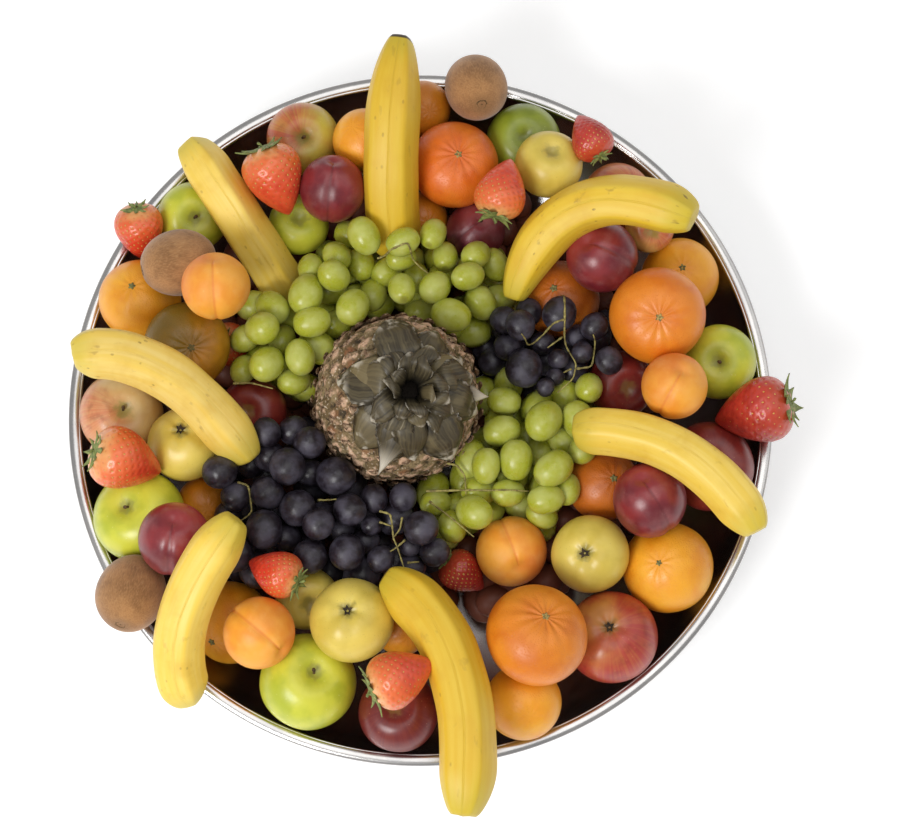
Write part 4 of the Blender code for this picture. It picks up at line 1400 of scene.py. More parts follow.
@dataclass
class Kiwi(RoundFruit):
    """A kiwi: a plump oval with a hard dark scar in the dimple of its stem end."""

    slot: str = "kiwi_skin"
    tall: float = 1.18
    stem_dip: float = 0.05
    stem_spread: float = 0.26
    eye_dip: float = 0.03
    eye_spread: float = 0.2
    unevenness: float = 0.03

    def details(self) -> tuple[list[Shape], list[bpy.types.Material]]:
        """The stem scar with its ring."""
        height = (1 - self.stem_dip) * self.radius * self.tall
        phis = round_turns(18)
        rings = []
        for wide, up in ((1.2, 0.5), (2.2, 0.3), (3.4, 1.0), (4.6, 0.55), (5.0, -1.2)):
            ragged = wide * MM * (1 + 0.10 * np.sin(3 * phis + self.seed) + 0.07 * np.cos(7 * phis))
            rings.append(ring(ragged, phis, height + (up - 0.5) * MM))
        scar = closed_skin(np.array(rings), (0, 0, height + 0.6 * MM), (0, 0, height - 2 * MM))
        return [scar], [Plain("kiwi_scar", 0.95, first="#6E5334", second="#4A3620", size_mm=1.2).make()]


# Strawberries


@dataclass
class Strawberry:
    """A strawberry: seeds in dimples over a blunt cone, and a star of green leaves.

    The shares are of its width: how far its tip shows from its middle, how much room it takes,
    and where the tips of its solid's leaves lie.
    """

    node: str
    lean_px: tuple[float, float]
    width_mm: float
    finish: BerrySkin
    seed: int = 1
    seen_px: Optional[tuple[float, float]] = None
    leaf_share: float = 0.40
    length: float = 1.22
    bluntness: float = 0.72
    shoulder: float = 0.60
    seed_count: int = 210
    seed_size: float = 0.85 * MM
    seed_depth: float = 0.75 * MM
    tip_reach: float = 0.62
    girth: float = 0.56
    star_reach: float = 0.62
    star_height: float = 0.51
    carried_at: float = 0.055
    sepals: int = 8
    rings: int = 60
    sides: int = 84

    def profile(self, share: Array) -> tuple[Array, Array]:
        """The radius and height at shares of the way from the top to the tip."""
        width = self.width_mm * MM
        radius = width / 2 * np.sin(math.pi * share**self.shoulder) ** self.bluntness
        return radius, width * self.length * (0.5 - share)

    def seed_places(self) -> tuple[Array, Array]:
        """Where the seeds lie, in a spiral with even spacing, and the way each faces."""
        area = np.linspace(0.04, 0.985, 400)
        radius, height = self.profile(area)
        strip = radius[:-1] * np.hypot(np.diff(radius), np.diff(height))
        grown = np.concatenate([[0], np.cumsum(strip)]) / strip.sum()
        share = np.interp((np.arange(self.seed_count) + 0.5) / self.seed_count, grown, area)
        phi = np.arange(self.seed_count) * GOLDEN_ANGLE + self.seed
        radius, height = self.profile(share)
        nearby, above = self.profile(share + 0.004)
        slope_r, slope_z = nearby - radius, above - height
        places = np.column_stack([radius * np.cos(phi), radius * np.sin(phi), height])
        ways = np.column_stack([-slope_z * np.cos(phi), -slope_z * np.sin(phi), slope_r])
        return places, ways / np.linalg.norm(ways, axis=1)[:, None]

    def flesh(self, seeds: Array) -> Shape:
        """The berry with a dimple round each seed.

        Args:
            seeds: Where the seeds lie.

        Returns:
            The shape, in its own frame, leaves up.
        """
        share = ((np.arange(self.rings) + 1) / (self.rings + 1)) ** 1.15
        radius, height = self.profile(share)
        phi = round_turns(self.sides)
        rings = np.array([ring(r, phi, z) for r, z in zip(radius, height)])
        length = self.width_mm * MM * self.length
        made = closed_skin(rings, (0, 0, length * 0.47), (0, 0, -length / 2))
        near = np.sqrt(((made.points[:, None, :] - seeds[None]) ** 2).sum(axis=2).min(axis=1))
        swell = 1 + 0.035 * lumps(made.points, 0.02, self.seed)
        made.shade = np.exp(-((near / (1.2 * MM)) ** 2))
        made.points[:, :2] *= (swell * (1 - 0.05 * made.shade))[:, None]
        made.own[:, 2] /= length / 2
        return made

    def leaves(self) -> Shape:
        """The green star: pointed leaves that lie over the shoulders and lift at their tips."""
        chance = random.Random(self.seed)
        top = self.width_mm * MM * self.length * 0.48
        made = []
        for k in range(self.sepals):
            phi = 2 * math.pi * k / self.sepals + chance.uniform(-0.15, 0.15)
            reach = self.width_mm * MM * self.leaf_share * chance.uniform(0.8, 1.15)
            lift = chance.uniform(-0.1, 0.5)
            out = np.array([math.cos(phi), math.sin(phi), 0])
            share = np.linspace(0, 1, 7)
            drop = -0.30 * share + (0.30 + 0.5 * lift) * share**2.2
            rise = top + 1.0 * MM + reach * drop * 0.7
            middles = np.outer(1.5 * MM + reach * share, out) + np.outer(rise, (0, 0, 1))
            sides = np.tile(np.cross(out, (0, 0, -1)), (7, 1))
            widths = reach * 0.24 * np.array([0.6, 0.95, 1.0, 0.85, 0.6, 0.3, 0.06])
            made.append(blade(middles, sides, widths, 0.7 * MM, 0.25))
        stalk = stem_shape(top - 1 * MM, 6 * MM, 2.0 * MM, 3 * MM)
        return Shape.joined(made + [stalk])

    def build(self) -> None:
        """Makes the berry with seeds and leaves and sets it in its node's place."""
        width = self.width_mm * MM
        if self.seen_px:
            shift, size = NEAR.room(self.seen_px, self.girth * width, self.carried_at)
            NEAR.balls.append((shift, size * self.girth * width))
            self.width_mm *= size
            width *= size
        places, ways = self.seed_places()
        flesh = self.flesh(places)
        around = np.arange(6) * math.pi / 3
        rings = [ring(r, around, z) * (1, 1.45, 1) for r, z in ((0.6, 0.35), (0.75, 0.0), (0.5, -0.3))]
        pip = closed_skin(np.array(rings), (0, 0, 0.5), (0, 0, -0.4))
        turns = np.array([tuple(Vector(way).to_track_quat("Z", "Y").to_euler()) for way in ways])
        keep = places[:, 2] < width * self.length * 0.42
        sizes = np.full((keep.sum(), 3), self.seed_size)
        spots = (places - ways * self.seed_depth)[keep]
        seeds = SCATTER.make(spots, turns[keep], sizes, pip, BERRY_SEED, unevenness=0.15, seed=self.seed)
        turn = standing(VIEW.axis(self.lean_px, width * self.tip_reach))
        shape = Shape.joined([flesh, seeds.finished(1), self.leaves().finished(2)])
        if not self.seen_px:
            body = Shape.joined([flesh])
            star = ring(self.star_reach * width, around, self.star_height * width)
            body.points = np.concatenate([body.points, star])
            shift = centred_in(body, turn, self.node)
        finishes = [self.finish.make(), BERRY_SEED, BERRY_LEAF]
        node = "" if self.seen_px else self.node
        add_piece(self.node + "_fruit", shape.placed(turn, shift), finishes, node)


# Bananas


@dataclass
class Banana:
    """A banana: a bent five-sided body between a cut stem end and a blossom tip.

    An end is its thickness there and the share of the length over which it thins to it.
    The ridge that shows stands this far to the left of its top, looking from stem to tip.
    """

    node: str
    stem_px: tuple[float, float]
    middle_px: tuple[float, float]
    tip_px: tuple[float, float]
    width_mm: float
    arch_mm: float
    finish: BananaPeel
    seed: int = 1
    lie: float = 0.020
    pitches: int = 27
    pitch_limit: float = math.radians(26)
    ridge_deg: float = 25.0
    stem_end: tuple[float, float] = (0.50, 0.13)
    tip_end: tuple[float, float] = (0.45, 0.14)
    end_closing: tuple[float, float] = (0.75, 0.6)
    rounding: float = 0.7
    slimness: float = 0.98
    lump_height: float = 0.0007
    lump_width: float = 0.03
    probe_every: int = 31
    stem_dark: float = 0.6
    tip_dark: float = 0.8
    rings: int = 90
    sides: int = 60
    facets: int = 5
    flatness: float = 0.55

    def thickness(self, share: Array) -> Array:
        """The thickness at shares of the length, as a share of the width."""
        thick = np.ones(len(share))
        for away, (end, length) in ((share, self.stem_end), (1 - share, self.tip_end)):
            grown = np.sin(math.pi / 2 * np.clip(away / length, 0, 1)) ** self.rounding
            thick = thick * (end + (1 - end) * grown)
        return thick

    def body(self) -> Shape:
        """The banana as it lies level, its middle at the origin.

        Returns:
            The shape, whose own coordinates are the turn round it, the share along and a seed.
        """
        height = VIEW.rim_height + self.lie
        seen = (self.stem_px, self.middle_px, self.tip_px)
        places = [np.array(VIEW.place(*pixel, height)) for pixel in seen]
        stem, middle, tip = (place - places[1] for place in places)
        bend = middle * 2 - (stem + tip) / 2
        arch = self.arch_mm * MM
        share = np.linspace(0, 1, self.rings)
        share = np.concatenate([[0.0], share - 0.035 * np.sin(2 * math.pi * share), [1.0]])
        left = 1 - share
        line = np.outer(left**2, stem) + np.outer(2 * share * left, bend) + np.outer(share**2, tip)
        line[:, 2] = arch * (1 - (2 * share - 1) ** 2) - arch
        ways = np.outer(left, bend - stem) + np.outer(share, tip - bend)
        ways[:, 2] = -2 * arch * (2 * share - 1)
        ways /= np.linalg.norm(ways, axis=1)[:, None]
        flats = np.cross(ways, (0, 0, 1))
        flats /= np.linalg.norm(flats, axis=1)[:, None]
        ups = np.cross(flats, ways)
        phis = round_turns(self.sides) + math.pi / 2
        facet = 2 * math.pi / self.facets
        turned = (phis - math.pi / 2 - math.radians(self.ridge_deg)) % facet - facet / 2
        ridges = 1 + self.flatness * (math.cos(facet / 2) / np.cos(turned) - 1)
        thick = self.thickness(share)
        thick[[0, -1]] *= self.end_closing
        radii = self.slimness * self.width_mm * MM / 2 * np.outer(thick, ridges / ridges.mean())
        outward = flats[:, None] * np.cos(phis)[:, None] + ups[:, None] * np.sin(phis)[:, None]
        rings = line[:, None] + radii[..., None] * outward
        made = closed_skin(rings[:, ::-1], line[0], line[-1] + ways[-1] * MM)
        turns = np.append(np.tile(phis[::-1], len(share)), (0, 0))
        shares = np.append(np.repeat(share, self.sides), (0, 1))
        made.own = np.column_stack([turns, shares, np.full(len(turns), 0.3 * self.seed)])
        stem_near = 1 - smooth(shares, 0.002, 0.03)
        tip_near = smooth(shares, 0.975, 0.998)
        made.shade = self.stem_dark * stem_near + self.tip_dark * tip_near
        made.points += self.lump_height * lumps(made.points, self.lump_width, self.seed)[:, None]
        return made

    def build(self) -> None:
        """Makes the banana and lays it at the pitch at which it lies closest to its node's skin."""
        body = self.body()
        stem, tip = (VIEW.place(*point, VIEW.rim_height) for point in (self.stem_px, self.tip_px))
        across = (tip - stem).cross(Vector((0, 0, 1))).normalized()
        tree = BVHTree.FromPolygons(*NEAR.solids[self.node])
        best = None
        for i in range(self.pitches):
            turn = Matrix.Rotation(self.pitch_limit * (2 * i / (self.pitches - 1) - 1), 3, across)
            points = body.points[:: self.probe_every] @ np.array(turn).T + centred_in(body, turn, self.node)
            miss = sum(tree.find_nearest(Vector(point))[3] for point in points)
            if best is None or miss < best[0]:
                best = (miss, turn)
        peel = body.placed(best[1], centred_in(body, best[1], self.node))
        add_piece(self.node + "_peel", peel, [self.finish.make()], self.node)


# The bowl


@dataclass
class Bowl:
    """The spun steel bowl: a flat foot, a wall that steepens, and a rolled lip."""

    rim_radius: float = 0.270
    rim_height: float = 0.080
    lip_width: float = 0.0085
    lip_drop: float = 0.0035
    steel: float = 0.0018
    foot_radius: float = 0.140
    wall_end: float = math.radians(76)
    wall_steps: int = 40
    foot_rings: tuple[float, ...] = (0.03, 0.07, 0.11, 0.13)
    lip_steps: int = 13
    lip_turn: float = 1.25 * math.pi
    lip_half_height: float = 0.0021
    lip_below_rim: float = 0.0008
    sides: int = 240

    def section(self) -> list[tuple[float, float]]:
        """The wall's section: the inside from the middle out, the lip, the outside back."""
        reach, rise = math.sin(self.wall_end), 1 - math.cos(self.wall_end)
        inner = self.rim_radius - self.lip_width
        inside = [(radius, self.steel) for radius in self.foot_rings]
        outside = [(radius, 0.0) for radius in self.foot_rings]
        walls = (
            (inside, inner - self.foot_radius, self.steel, self.rim_height - self.steel),
            (outside, inner + self.steel - self.foot_radius, 0.0, self.rim_height - self.lip_drop),
        )
        for i in range(self.wall_steps + 1):
            angle = self.wall_end * i / self.wall_steps
            along, up = math.sin(angle) / reach, (1 - math.cos(angle)) / rise
            for wall, width, foot, height in walls:
                wall.append((self.foot_radius + width * along, foot + height * up))
        half = self.lip_width / 2
        lip = []
        for k in range(1, self.lip_steps + 1):
            angle = math.pi - self.lip_turn * k / self.lip_steps
            height = self.rim_height - self.lip_below_rim + self.lip_half_height * math.sin(angle)
            lip.append((self.rim_radius - half + half * math.cos(angle), height))
        return inside + lip + outside[::-1]

    def build(self) -> None:
        """Spins the section and sets it in the bowl's place."""
        phis = round_turns(self.sides)
        rings = [ring(r, phis, z) for r, z in self.section()]
        shape = closed_skin(np.array(rings), (0, 0, self.steel), (0, 0, 0))
        steel = PolishedSteel("polished_stainless_steel").make()
        add_piece("bowl_steel", shape, [steel], "bowl")


# The pineapple


@dataclass
class Pineapple:
    """A pineapple that stands upright: a barrel of spiny eyes under a short dried crown."""

    node: str = "pineapple"
    crown_px: tuple[float, float] = (411, 390)
    width: float = 0.122
    height: float = 0.168
    lean: tuple[float, float] = (math.radians(6), math.radians(9))
    end_share: float = 0.50
    eyes_round: int = 18
    eye_rows: int = 13
    eye_bulge: float = 0.0064
    eye_sink: float = 0.80
    eye_reach: float = 0.56
    row_stretch: float = 0.82
    rough_mm: tuple[tuple[float, float], ...] = ((2.0, 9.0), (1.2, 3.5))
    leaves: int = 36
    leaf_reach: float = 0.061
    leaf_width: float = 0.034
    leaf_root: float = 0.006
    leaf_arch: float = 0.015
    leaf_droop: float = 0.013
    leaf_sink: float = 0.010
    leaf_sway: float = 0.010
    leaf_thickness: float = 0.9 * MM
    pointed_stretch: float = 1.18
    heart_rise: float = 0.034
    heart_depth: float = 0.018
    pointed_ways: tuple[float, ...] = (math.radians(-2), math.radians(-106))
    seed: int = 4
    rings: int = 132
    sides: int = 176

    def radius(self, share: Array) -> Array:
        """The barrel's radius at shares of its height."""
        bulge = np.abs(2 * share - 1) ** 2.8
        return self.width / 2 * (1 - (1 - self.end_share) * bulge)

    def barrel(self) -> Shape:
        """The rind: an eye at each crossing of its spirals, domed between sunken seams."""
        share = 1 - (np.arange(self.rings) + 0.5) / self.rings
        phi = round_turns(self.sides)
        shares, phis = np.meshgrid(share, phi, indexing="ij")
        row = shares * self.eye_rows
        across = phis / (2 * math.pi) * self.eyes_round
        best = np.full(shares.shape, 9.0)
        pick = np.zeros(shares.shape)
        base = np.floor(row)
        for step in (-1, 0, 1, 2):
            line = base + step
            offset = 0.5 * (line % 2)
            nearest = np.round(across - offset) + offset
            gap = np.hypot(across - nearest, (row - line) * self.row_stretch)
            closer = gap < best
            best = np.where(closer, gap, best)
            pick = np.where(closer, (line * 17 + (nearest % self.eyes_round) * 29) % 11 / 10, pick)
        dome = np.clip(1 - (best / self.eye_reach) ** 2, -0.35, 1) * (0.65 + 0.6 * pick)
        radius = self.radius(shares) + self.eye_bulge * (dome - self.eye_sink)
        rings = np.stack([radius * np.cos(phis), radius * np.sin(phis), (shares - 1) * self.height], axis=-1)
        made = closed_skin(rings, (0, 0, -self.heart_depth), (0, 0, -self.height))
        for k, (height_mm, width_mm) in enumerate(self.rough_mm):
            made.points += height_mm * MM * lumps(made.points, width_mm * MM, self.seed + k)[:, None]
        # The poles get a seam's distance and the top pole a height of 0, so the rind paints the hollow heart dark:
        # painted shade.
        from_eye = np.append(best.ravel() / self.eye_reach, (3, 0))
        heights = np.append(made.points[:-2, 2], (0, -self.height))
        made.own = np.column_stack([from_eye, np.append(pick.ravel(), (0, 0)), heights])
        return made

    def bracts(self) -> Shape:
        """A dry pointed scale on each eye, turned up against the rind."""
        places, turns = [], []
        for line in range(1, self.eye_rows):
            share = line / self.eye_rows
            for k in range(self.eyes_round):
                phi = 2 * math.pi * (k + 0.5 * (line % 2)) / self.eyes_round
                radius = float(self.radius(np.array(share))) + self.eye_bulge * (1 - self.eye_sink)
                out = Vector((math.cos(phi), math.sin(phi), 0))
                below, above = self.radius(np.array([share - 0.02, share + 0.02]))
                slope = float(above - below) / (0.04 * self.height)
                normal = Vector((out.x, out.y, -slope)).normalized()
                places.append((radius * out.x, radius * out.y, (share - 1) * self.height))
                side = Vector((-out.y, out.x, 0))
                up = normal.cross(side)
                frame = Matrix((side, up, normal)).transposed()
                turns.append(tuple(frame.to_euler()))
        share = np.linspace(0, 1, 6)
        middles = np.column_stack([1.2 * share**2, -3 + 10 * share, 0.5 + 2.4 * np.sin(2.4 * share)]) * MM
        sides = np.tile((1.0, 0, 0), (6, 1))
        scale = blade(middles, sides, np.array([2.8, 3.4, 2.8, 1.9, 1.1, 0.4]) * MM, 0.7 * MM, -0.25)
        return SCATTER.make(
            np.array(places),
            np.array(turns),
            np.ones((len(places), 3)),
            scale,
            BRACT,
            0.2,
            0.0012,
            220.0,
            self.seed,
        )

    def crown(self) -> Shape:
        """The rosette: broad dried leaves that lie over each other round a hollow heart.

        Returns:
            The leaves, each with a shade of its own; some have lost their tips.
        """
        chance = random.Random(self.seed)
        made = []
        for k in range(self.leaves):
            outer = (k + 1) / self.leaves
            phi = k * GOLDEN_ANGLE + chance.uniform(-0.25, 0.25)
            reach = self.leaf_reach * (0.24 + 0.72 * outer**0.8) * chance.uniform(0.85, 1.04)
            pointed = k >= self.leaves - len(self.pointed_ways)
            if pointed:
                phi = self.pointed_ways[k - self.leaves]
            out = np.array([math.cos(phi), math.sin(phi), 0.0])
            side = np.array([-math.sin(phi), math.cos(phi), 0.0])
            share = np.linspace(0, 1, 18)
            stretch = self.pointed_stretch if pointed else 1.0
            away = self.leaf_root + 0.004 * outer + (reach - self.leaf_root) * share * stretch
            upright = self.heart_rise * (1 - outer) ** 1.5 * share**0.8
            lying = self.leaf_arch * np.sin(math.pi * np.minimum(0.9 * share + 0.1, 1))
            lying -= self.leaf_droop * outer * share**2
            height = chance.uniform(0.8, 1.2) * (upright + lying) - self.leaf_sink
            sway = self.leaf_sway * chance.uniform(-1, 1) * share**1.6
            middles = np.outer(away, out) + np.outer(height, (0, 0, 1)) + np.outer(sway, side)
            twist = chance.uniform(-0.7, 0.7) * share**1.5
            sides = np.outer(np.cos(twist), side) + np.outer(np.sin(twist), (0, 0, 1))
            shape = 0.42 + 0.75 * np.sin(math.pi * np.minimum(0.15 + 0.62 * share, 1))
            ragged = 1 + 0.10 * share * np.sin(19 * share + k) * np.cos(31 * share - k)
            end_in = np.clip((1.03 - share) / (0.60 if pointed else 0.24), 0, 1) ** (1.2 if pointed else 0.5)
            widths = self.leaf_width / 2 * (0.30 + 0.70 * outer) * shape * ragged * end_in
            leaf = blade(middles, sides, widths, self.leaf_thickness, chance.uniform(0.0, 0.4))
            leaf.shade = np.full(len(leaf.points), chance.random())
            leaf.own[:, 2] = pointed
            leaf.points += 0.0040 * lumps(leaf.points, 0.016, k)[:, None] * np.array([0.4, 0.4, 1.0])
            made.append(leaf)
        return Shape.joined(made)

    def build(self) -> None:
        """Stands the pineapple where its crown shows, on the height of its node's foot."""
        barrel = self.barrel()
        turn = Euler((self.lean[0], self.lean[1], 0)).to_matrix()
        foot = (barrel.points @ np.array(turn).T)[:, 2].min()
        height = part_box(self.node)[0].z - foot
        shift = VIEW.place(*self.crown_px, height)
        shape = Shape.joined([barrel, self.bracts().finished(1), self.crown().finished(2)])
        finishes = [PineappleRind("pineapple_rind").make(), BRACT, DryLeaf("dried_crown_leaf").make()]
        add_piece("pineapple_fruit", shape.placed(turn, shift), finishes, self.node)


# The grapes


class Grape(NamedTuple):
    """A grape that shows: its middle, width, length and the way of its free end, by pixel.

    It lies this many steps under the top of its bunch, and its dot may face the viewer.
    """

    col: float
    row: float
    width: float
    length: float
    way_deg: float
    deep: float = 0.0
    dot: bool = False


@dataclass
class GrapeBunch:
    """A bunch of grapes: those that show, the ones under them, the bed below, and its stalks."""

    node: str
    shown: tuple[Grape, ...]
    level: float
    width_mm: float
    bed_deg: tuple[float, float]
    finish: GrapeSkin
    # The bed's grapes get a dark red-brown skin as painted shade for the gaps round the middle.
    bed_shade_finish: GrapeSkin
    slot: str
    seed: int
    tall: float = 1.26
    step: float = 0.016
    bed_radius: float = 0.165
    bed_level: float = 0.050
    stalks_px: tuple[tuple[tuple[float, float], ...], ...] = ()

    # How the grapes that show are eased apart, as shares of what each round would need
    ROUNDS = 50
    CLOSENESS = 0.97
    SOLID_CLOSENESS = 0.96
    EASE = 0.4
    SHOVE = 0.6
    FREEDOM = (0.25, 0.25, 1)
    PULL_BACK = (0.12, 0.12, 0)
    ABOVE_LEVEL = 0.010

    # How the hidden grapes are packed below them, in grape widths
    LAYERS = range(1, 7)
    TRIES = 260
    LAYER_DROP = 0.45
    FROM_SHOWN = 0.40
    FROM_HIDDEN = 0.86
    FROM_SOLIDS = 0.44

    # The bed's two layers, each with its depth in grape widths and its shift, and its spacing
    BED_LAYERS = ((0.5, 0.0), (1.25, 0.5))
    BED_SPACING = 0.93
    BED_FROM_SOLIDS = 0.42
    BED_INNER_RADIUS = 0.05

    # A stalk's steps between two points of its line, its ends' radii and how it may bend down
    STALK_STEPS = 6
    STALK_MM = (0.9, 0.5)
    STALK_DROP = 0.010

    # The dents in a grape's skin: how deep, and how many to a metre
    DENTS = (0.0012, 45.0)
    HIDDEN_DENTS = (0.001, 45.0)

    @property
    def width(self) -> float:
        """A hidden grape's real width."""
        return self.width_mm * MM

    def shown_places(self, tree: BVHTree) -> tuple[Array, Array]:
        """The middles and half widths of the grapes that show, eased off each other.

        Args:
            tree: The solids round the bunch.

        Returns:
            One middle and one half width a grape.
        """
        half = np.array([grape.width for grape in self.shown]) * VIEW.scale / 2
        heights = self.level - half - self.step * np.array([grape.deep for grape in self.shown])
        at = np.array([VIEW.place(g.col, g.row, z) for g, z in zip(self.shown, heights)])
        first = at.copy()
        for _ in range(self.ROUNDS):
            gaps = at[:, None] - at[None]
            length = np.sqrt((gaps**2).sum(axis=2)) + np.eye(len(at))
            want = self.CLOSENESS * (half[:, None] + half[None])
            close = np.clip(want - length, 0, None) * (1 - np.eye(len(at)))
            away = (gaps / length[..., None] * close[..., None]).sum(axis=1)
            at = at + self.EASE * away * np.array(self.FREEDOM)
            for k in range(len(at)):
                at[k] += self.SHOVE * np.array(NEAR.push(tree, Vector(at[k]), self.SOLID_CLOSENESS * half[k]))
            at += (first - at) * np.array(self.PULL_BACK)
            at[:, 2] = np.clip(at[:, 2], self.bed_level, self.level + self.ABOVE_LEVEL - half)
        return at, half

    def hidden_places(self, tree: BVHTree, shown: Array, half: Array) -> list[Vector]:
        """Where the grapes lie that fill the bunch below those that show.

        Args:
            tree: The solids round the bunch.
            shown: The middles of the grapes that show.
            half: Their half widths.

        Returns:
            The places.
        """
        chance = random.Random(self.seed)
        width = self.width
        found: list[Vector] = []

        def clear(place: Vector) -> bool:
            """Tells whether a grape at this place touches no other grape and no solid."""
            gaps = np.sqrt(((shown - np.array(place)) ** 2).sum(axis=1)) - half
            least = self.FROM_HIDDEN * width
            if gaps.min() < self.FROM_SHOWN * width or any((place - other).length < least for other in found):
                return False
            return NEAR.is_clear(tree, place, self.FROM_SOLIDS * width)

        for layer in self.LAYERS:
            drop = layer * self.LAYER_DROP * width
            for _ in range(self.TRIES):
                k = chance.randrange(len(shown))
                turn, reach = chance.uniform(0, 6.28), chance.uniform(0, 0.75) * width
                aside = Vector((math.cos(turn) * reach, math.sin(turn) * reach, -drop - half[k] * 0.5))
                place = Vector(shown[k]) + aside
                if place.z > self.bed_level - 0.2 * width and clear(place):
                    found.append(place)
        return found

    def bed_places(self, tree: BVHTree) -> list[Vector]:
        """Places for the grapes under the fruit round the middle, in layers."""
        chance = random.Random(self.seed + 7)
        places: list[Vector] = []
        step = self.width * self.BED_SPACING
        for level, shift in self.BED_LAYERS:
            height = self.bed_level - level * self.width
            count = int(self.bed_radius / step) + 1
            for j, i in product(range(-count, count + 1), repeat=2):
                x = (i + 0.5 * (j % 2) + shift + chance.uniform(-0.12, 0.12)) * step
                y = (j * 0.87 + 0.3 * shift + chance.uniform(-0.12, 0.12)) * step
                turn = (math.degrees(math.atan2(y, x)) - self.bed_deg[0]) % 360
                place = Vector((x, y, height + chance.uniform(-1.5, 1.5) * MM))
                inside = self.BED_INNER_RADIUS < math.hypot(x, y) < self.bed_radius
                inside = inside and turn < self.bed_deg[1] - self.bed_deg[0]
                if inside and NEAR.is_clear(tree, place, self.BED_FROM_SOLIDS * self.width):
                    places.append(place)
        return places

    def turns_of_shown(self, chance: random.Random) -> Array:
        """Turns each grape that shows so that it looks as long as it does in the photograph."""
        turns = []
        for grape in self.shown:
            reach = ((grape.length / grape.width) ** 2 - 1) / (self.tall**2 - 1)
            tilt = math.acos(math.sqrt(min(max(reach, 0.02), 1.0)))
            tilt = tilt if grape.dot else -tilt
            way = math.radians(grape.way_deg)
            across = Vector((1, 0, 0)) * math.cos(way) + VIEW.up * math.sin(way)
            axis = across * math.cos(tilt) - VIEW.away * math.sin(tilt)
            roll = Matrix.Rotation(chance.uniform(0, 6.28), 3, axis)
            turns.append(tuple((roll @ standing(axis)).to_euler()))
        return np.array(turns)

    def grape(self, rings: int, sides: int) -> Shape:
        """One grape of unit half width, its free end up; own z runs from -1 to 1."""
        theta = math.pi * (np.arange(rings) + 1) / (rings + 1)
        phi = round_turns(sides)
        thetas, phis = np.meshgrid(theta, phi, indexing="ij")
        radius = np.sin(thetas) ** 0.92 * (1 - 0.04 * np.cos(thetas))
        shape = [radius * np.cos(phis), radius * np.sin(phis), np.cos(thetas) * self.tall]
        pole = self.tall * 0.97
        made = closed_skin(np.stack(shape, axis=-1), (0, 0, pole), (0, 0, -pole))
        made.own = made.points / np.array([1, 1, self.tall])
        return made

    def stalks(self, surface: BVHTree) -> list[Shape]:
        """The woody stalks that show between the grapes, along their lines in the photo.

        Args:
            surface: The skins of the grapes, on which the stalks lie.

        Returns:
            One tube a line.
        """
        made = []
        for line in self.stalks_px:
            points = [VIEW.place(*pixel, self.level - 0.004) for pixel in line]
            count = self.STALK_STEPS * (len(points) - 1) + 1
            at = np.linspace(0, len(points) - 1, count)
            path = np.column_stack([np.interp(at, range(len(points)), values) for values in zip(*points)])
            for _ in range(2):
                path[1:-1] = (path[:-2] + 2 * path[1:-1] + path[2:]) / 4
            for k, (x, y, z) in enumerate(path):
                hit = surface.ray_cast(Vector((x, y, 0.4)), Vector((0, 0, -1)))[0]
                path[k, 2] = max(hit.z + 0.6 * MM if hit else 0, z - self.STALK_DROP)
            for _ in range(3):
                path[1:-1, 2] = np.maximum(path[1:-1, 2], (path[:-2, 2] + path[2:, 2]) / 2)
            knots = 1 + 0.25 * np.sin(np.arange(count) * 2.1)
            made.append(tube(path, np.linspace(*self.STALK_MM, count) * MM * knots))
        return made

    def build(self) -> None:
        """Makes the bunch as one piece, with its stalks, in its node's place."""
        tree = NEAR.tree([self.node])
        chance = random.Random(self.seed + 1)
        shown, half = self.shown_places(tree)
        hidden = self.hidden_places(tree, shown, half)
        bed = self.bed_places(tree)
        NEAR.balls += [(Vector(place), reach) for place, reach in zip(shown, half)]
        NEAR.balls += [(place, 0.46 * self.width) for place in hidden + bed]
        skin, bed_shade_skin = self.finish.make(), self.bed_shade_finish.make()
        fine, coarse = self.grape(11, 16), self.grape(6, 9)
        sizes = np.repeat(half[:, None], 3, axis=1)
        turns = self.turns_of_shown(chance)
        parts = [SCATTER.make(shown, turns, sizes, fine, skin, 0.0, *self.DENTS, self.seed)]
        # The bed's grapes take the second finish, whose dark colour is painted shade.
        for places, slot in ((hidden, 0), (bed, 1)):
            if places:
                turns = np.array([[chance.uniform(0, 6.28) for _ in range(3)] for _ in places])
                sizes = np.full((len(places), 3), self.width / 2)
                at = np.array(places)
                heap = SCATTER.make(at, turns, sizes, coarse, skin, 0.07, *self.HIDDEN_DENTS, self.seed)
                parts.append(heap.finished(slot))
        heap = Shape.joined(parts)
        surface = BVHTree.FromPolygons([Vector(p) for p in heap.points], heap.faces)
        stalks = [stalk.finished(2) for stalk in self.stalks(surface)]
        finishes = [skin, bed_shade_skin, GRAPE_STALK]
        add_piece(self.node + "_real", Shape.joined([heap] + stalks), finishes, self.node)
        LOG.info("%s: %d shown, %d hidden, %d in the bed", self.node, len(shown), len(hidden), len(bed))


# The studio


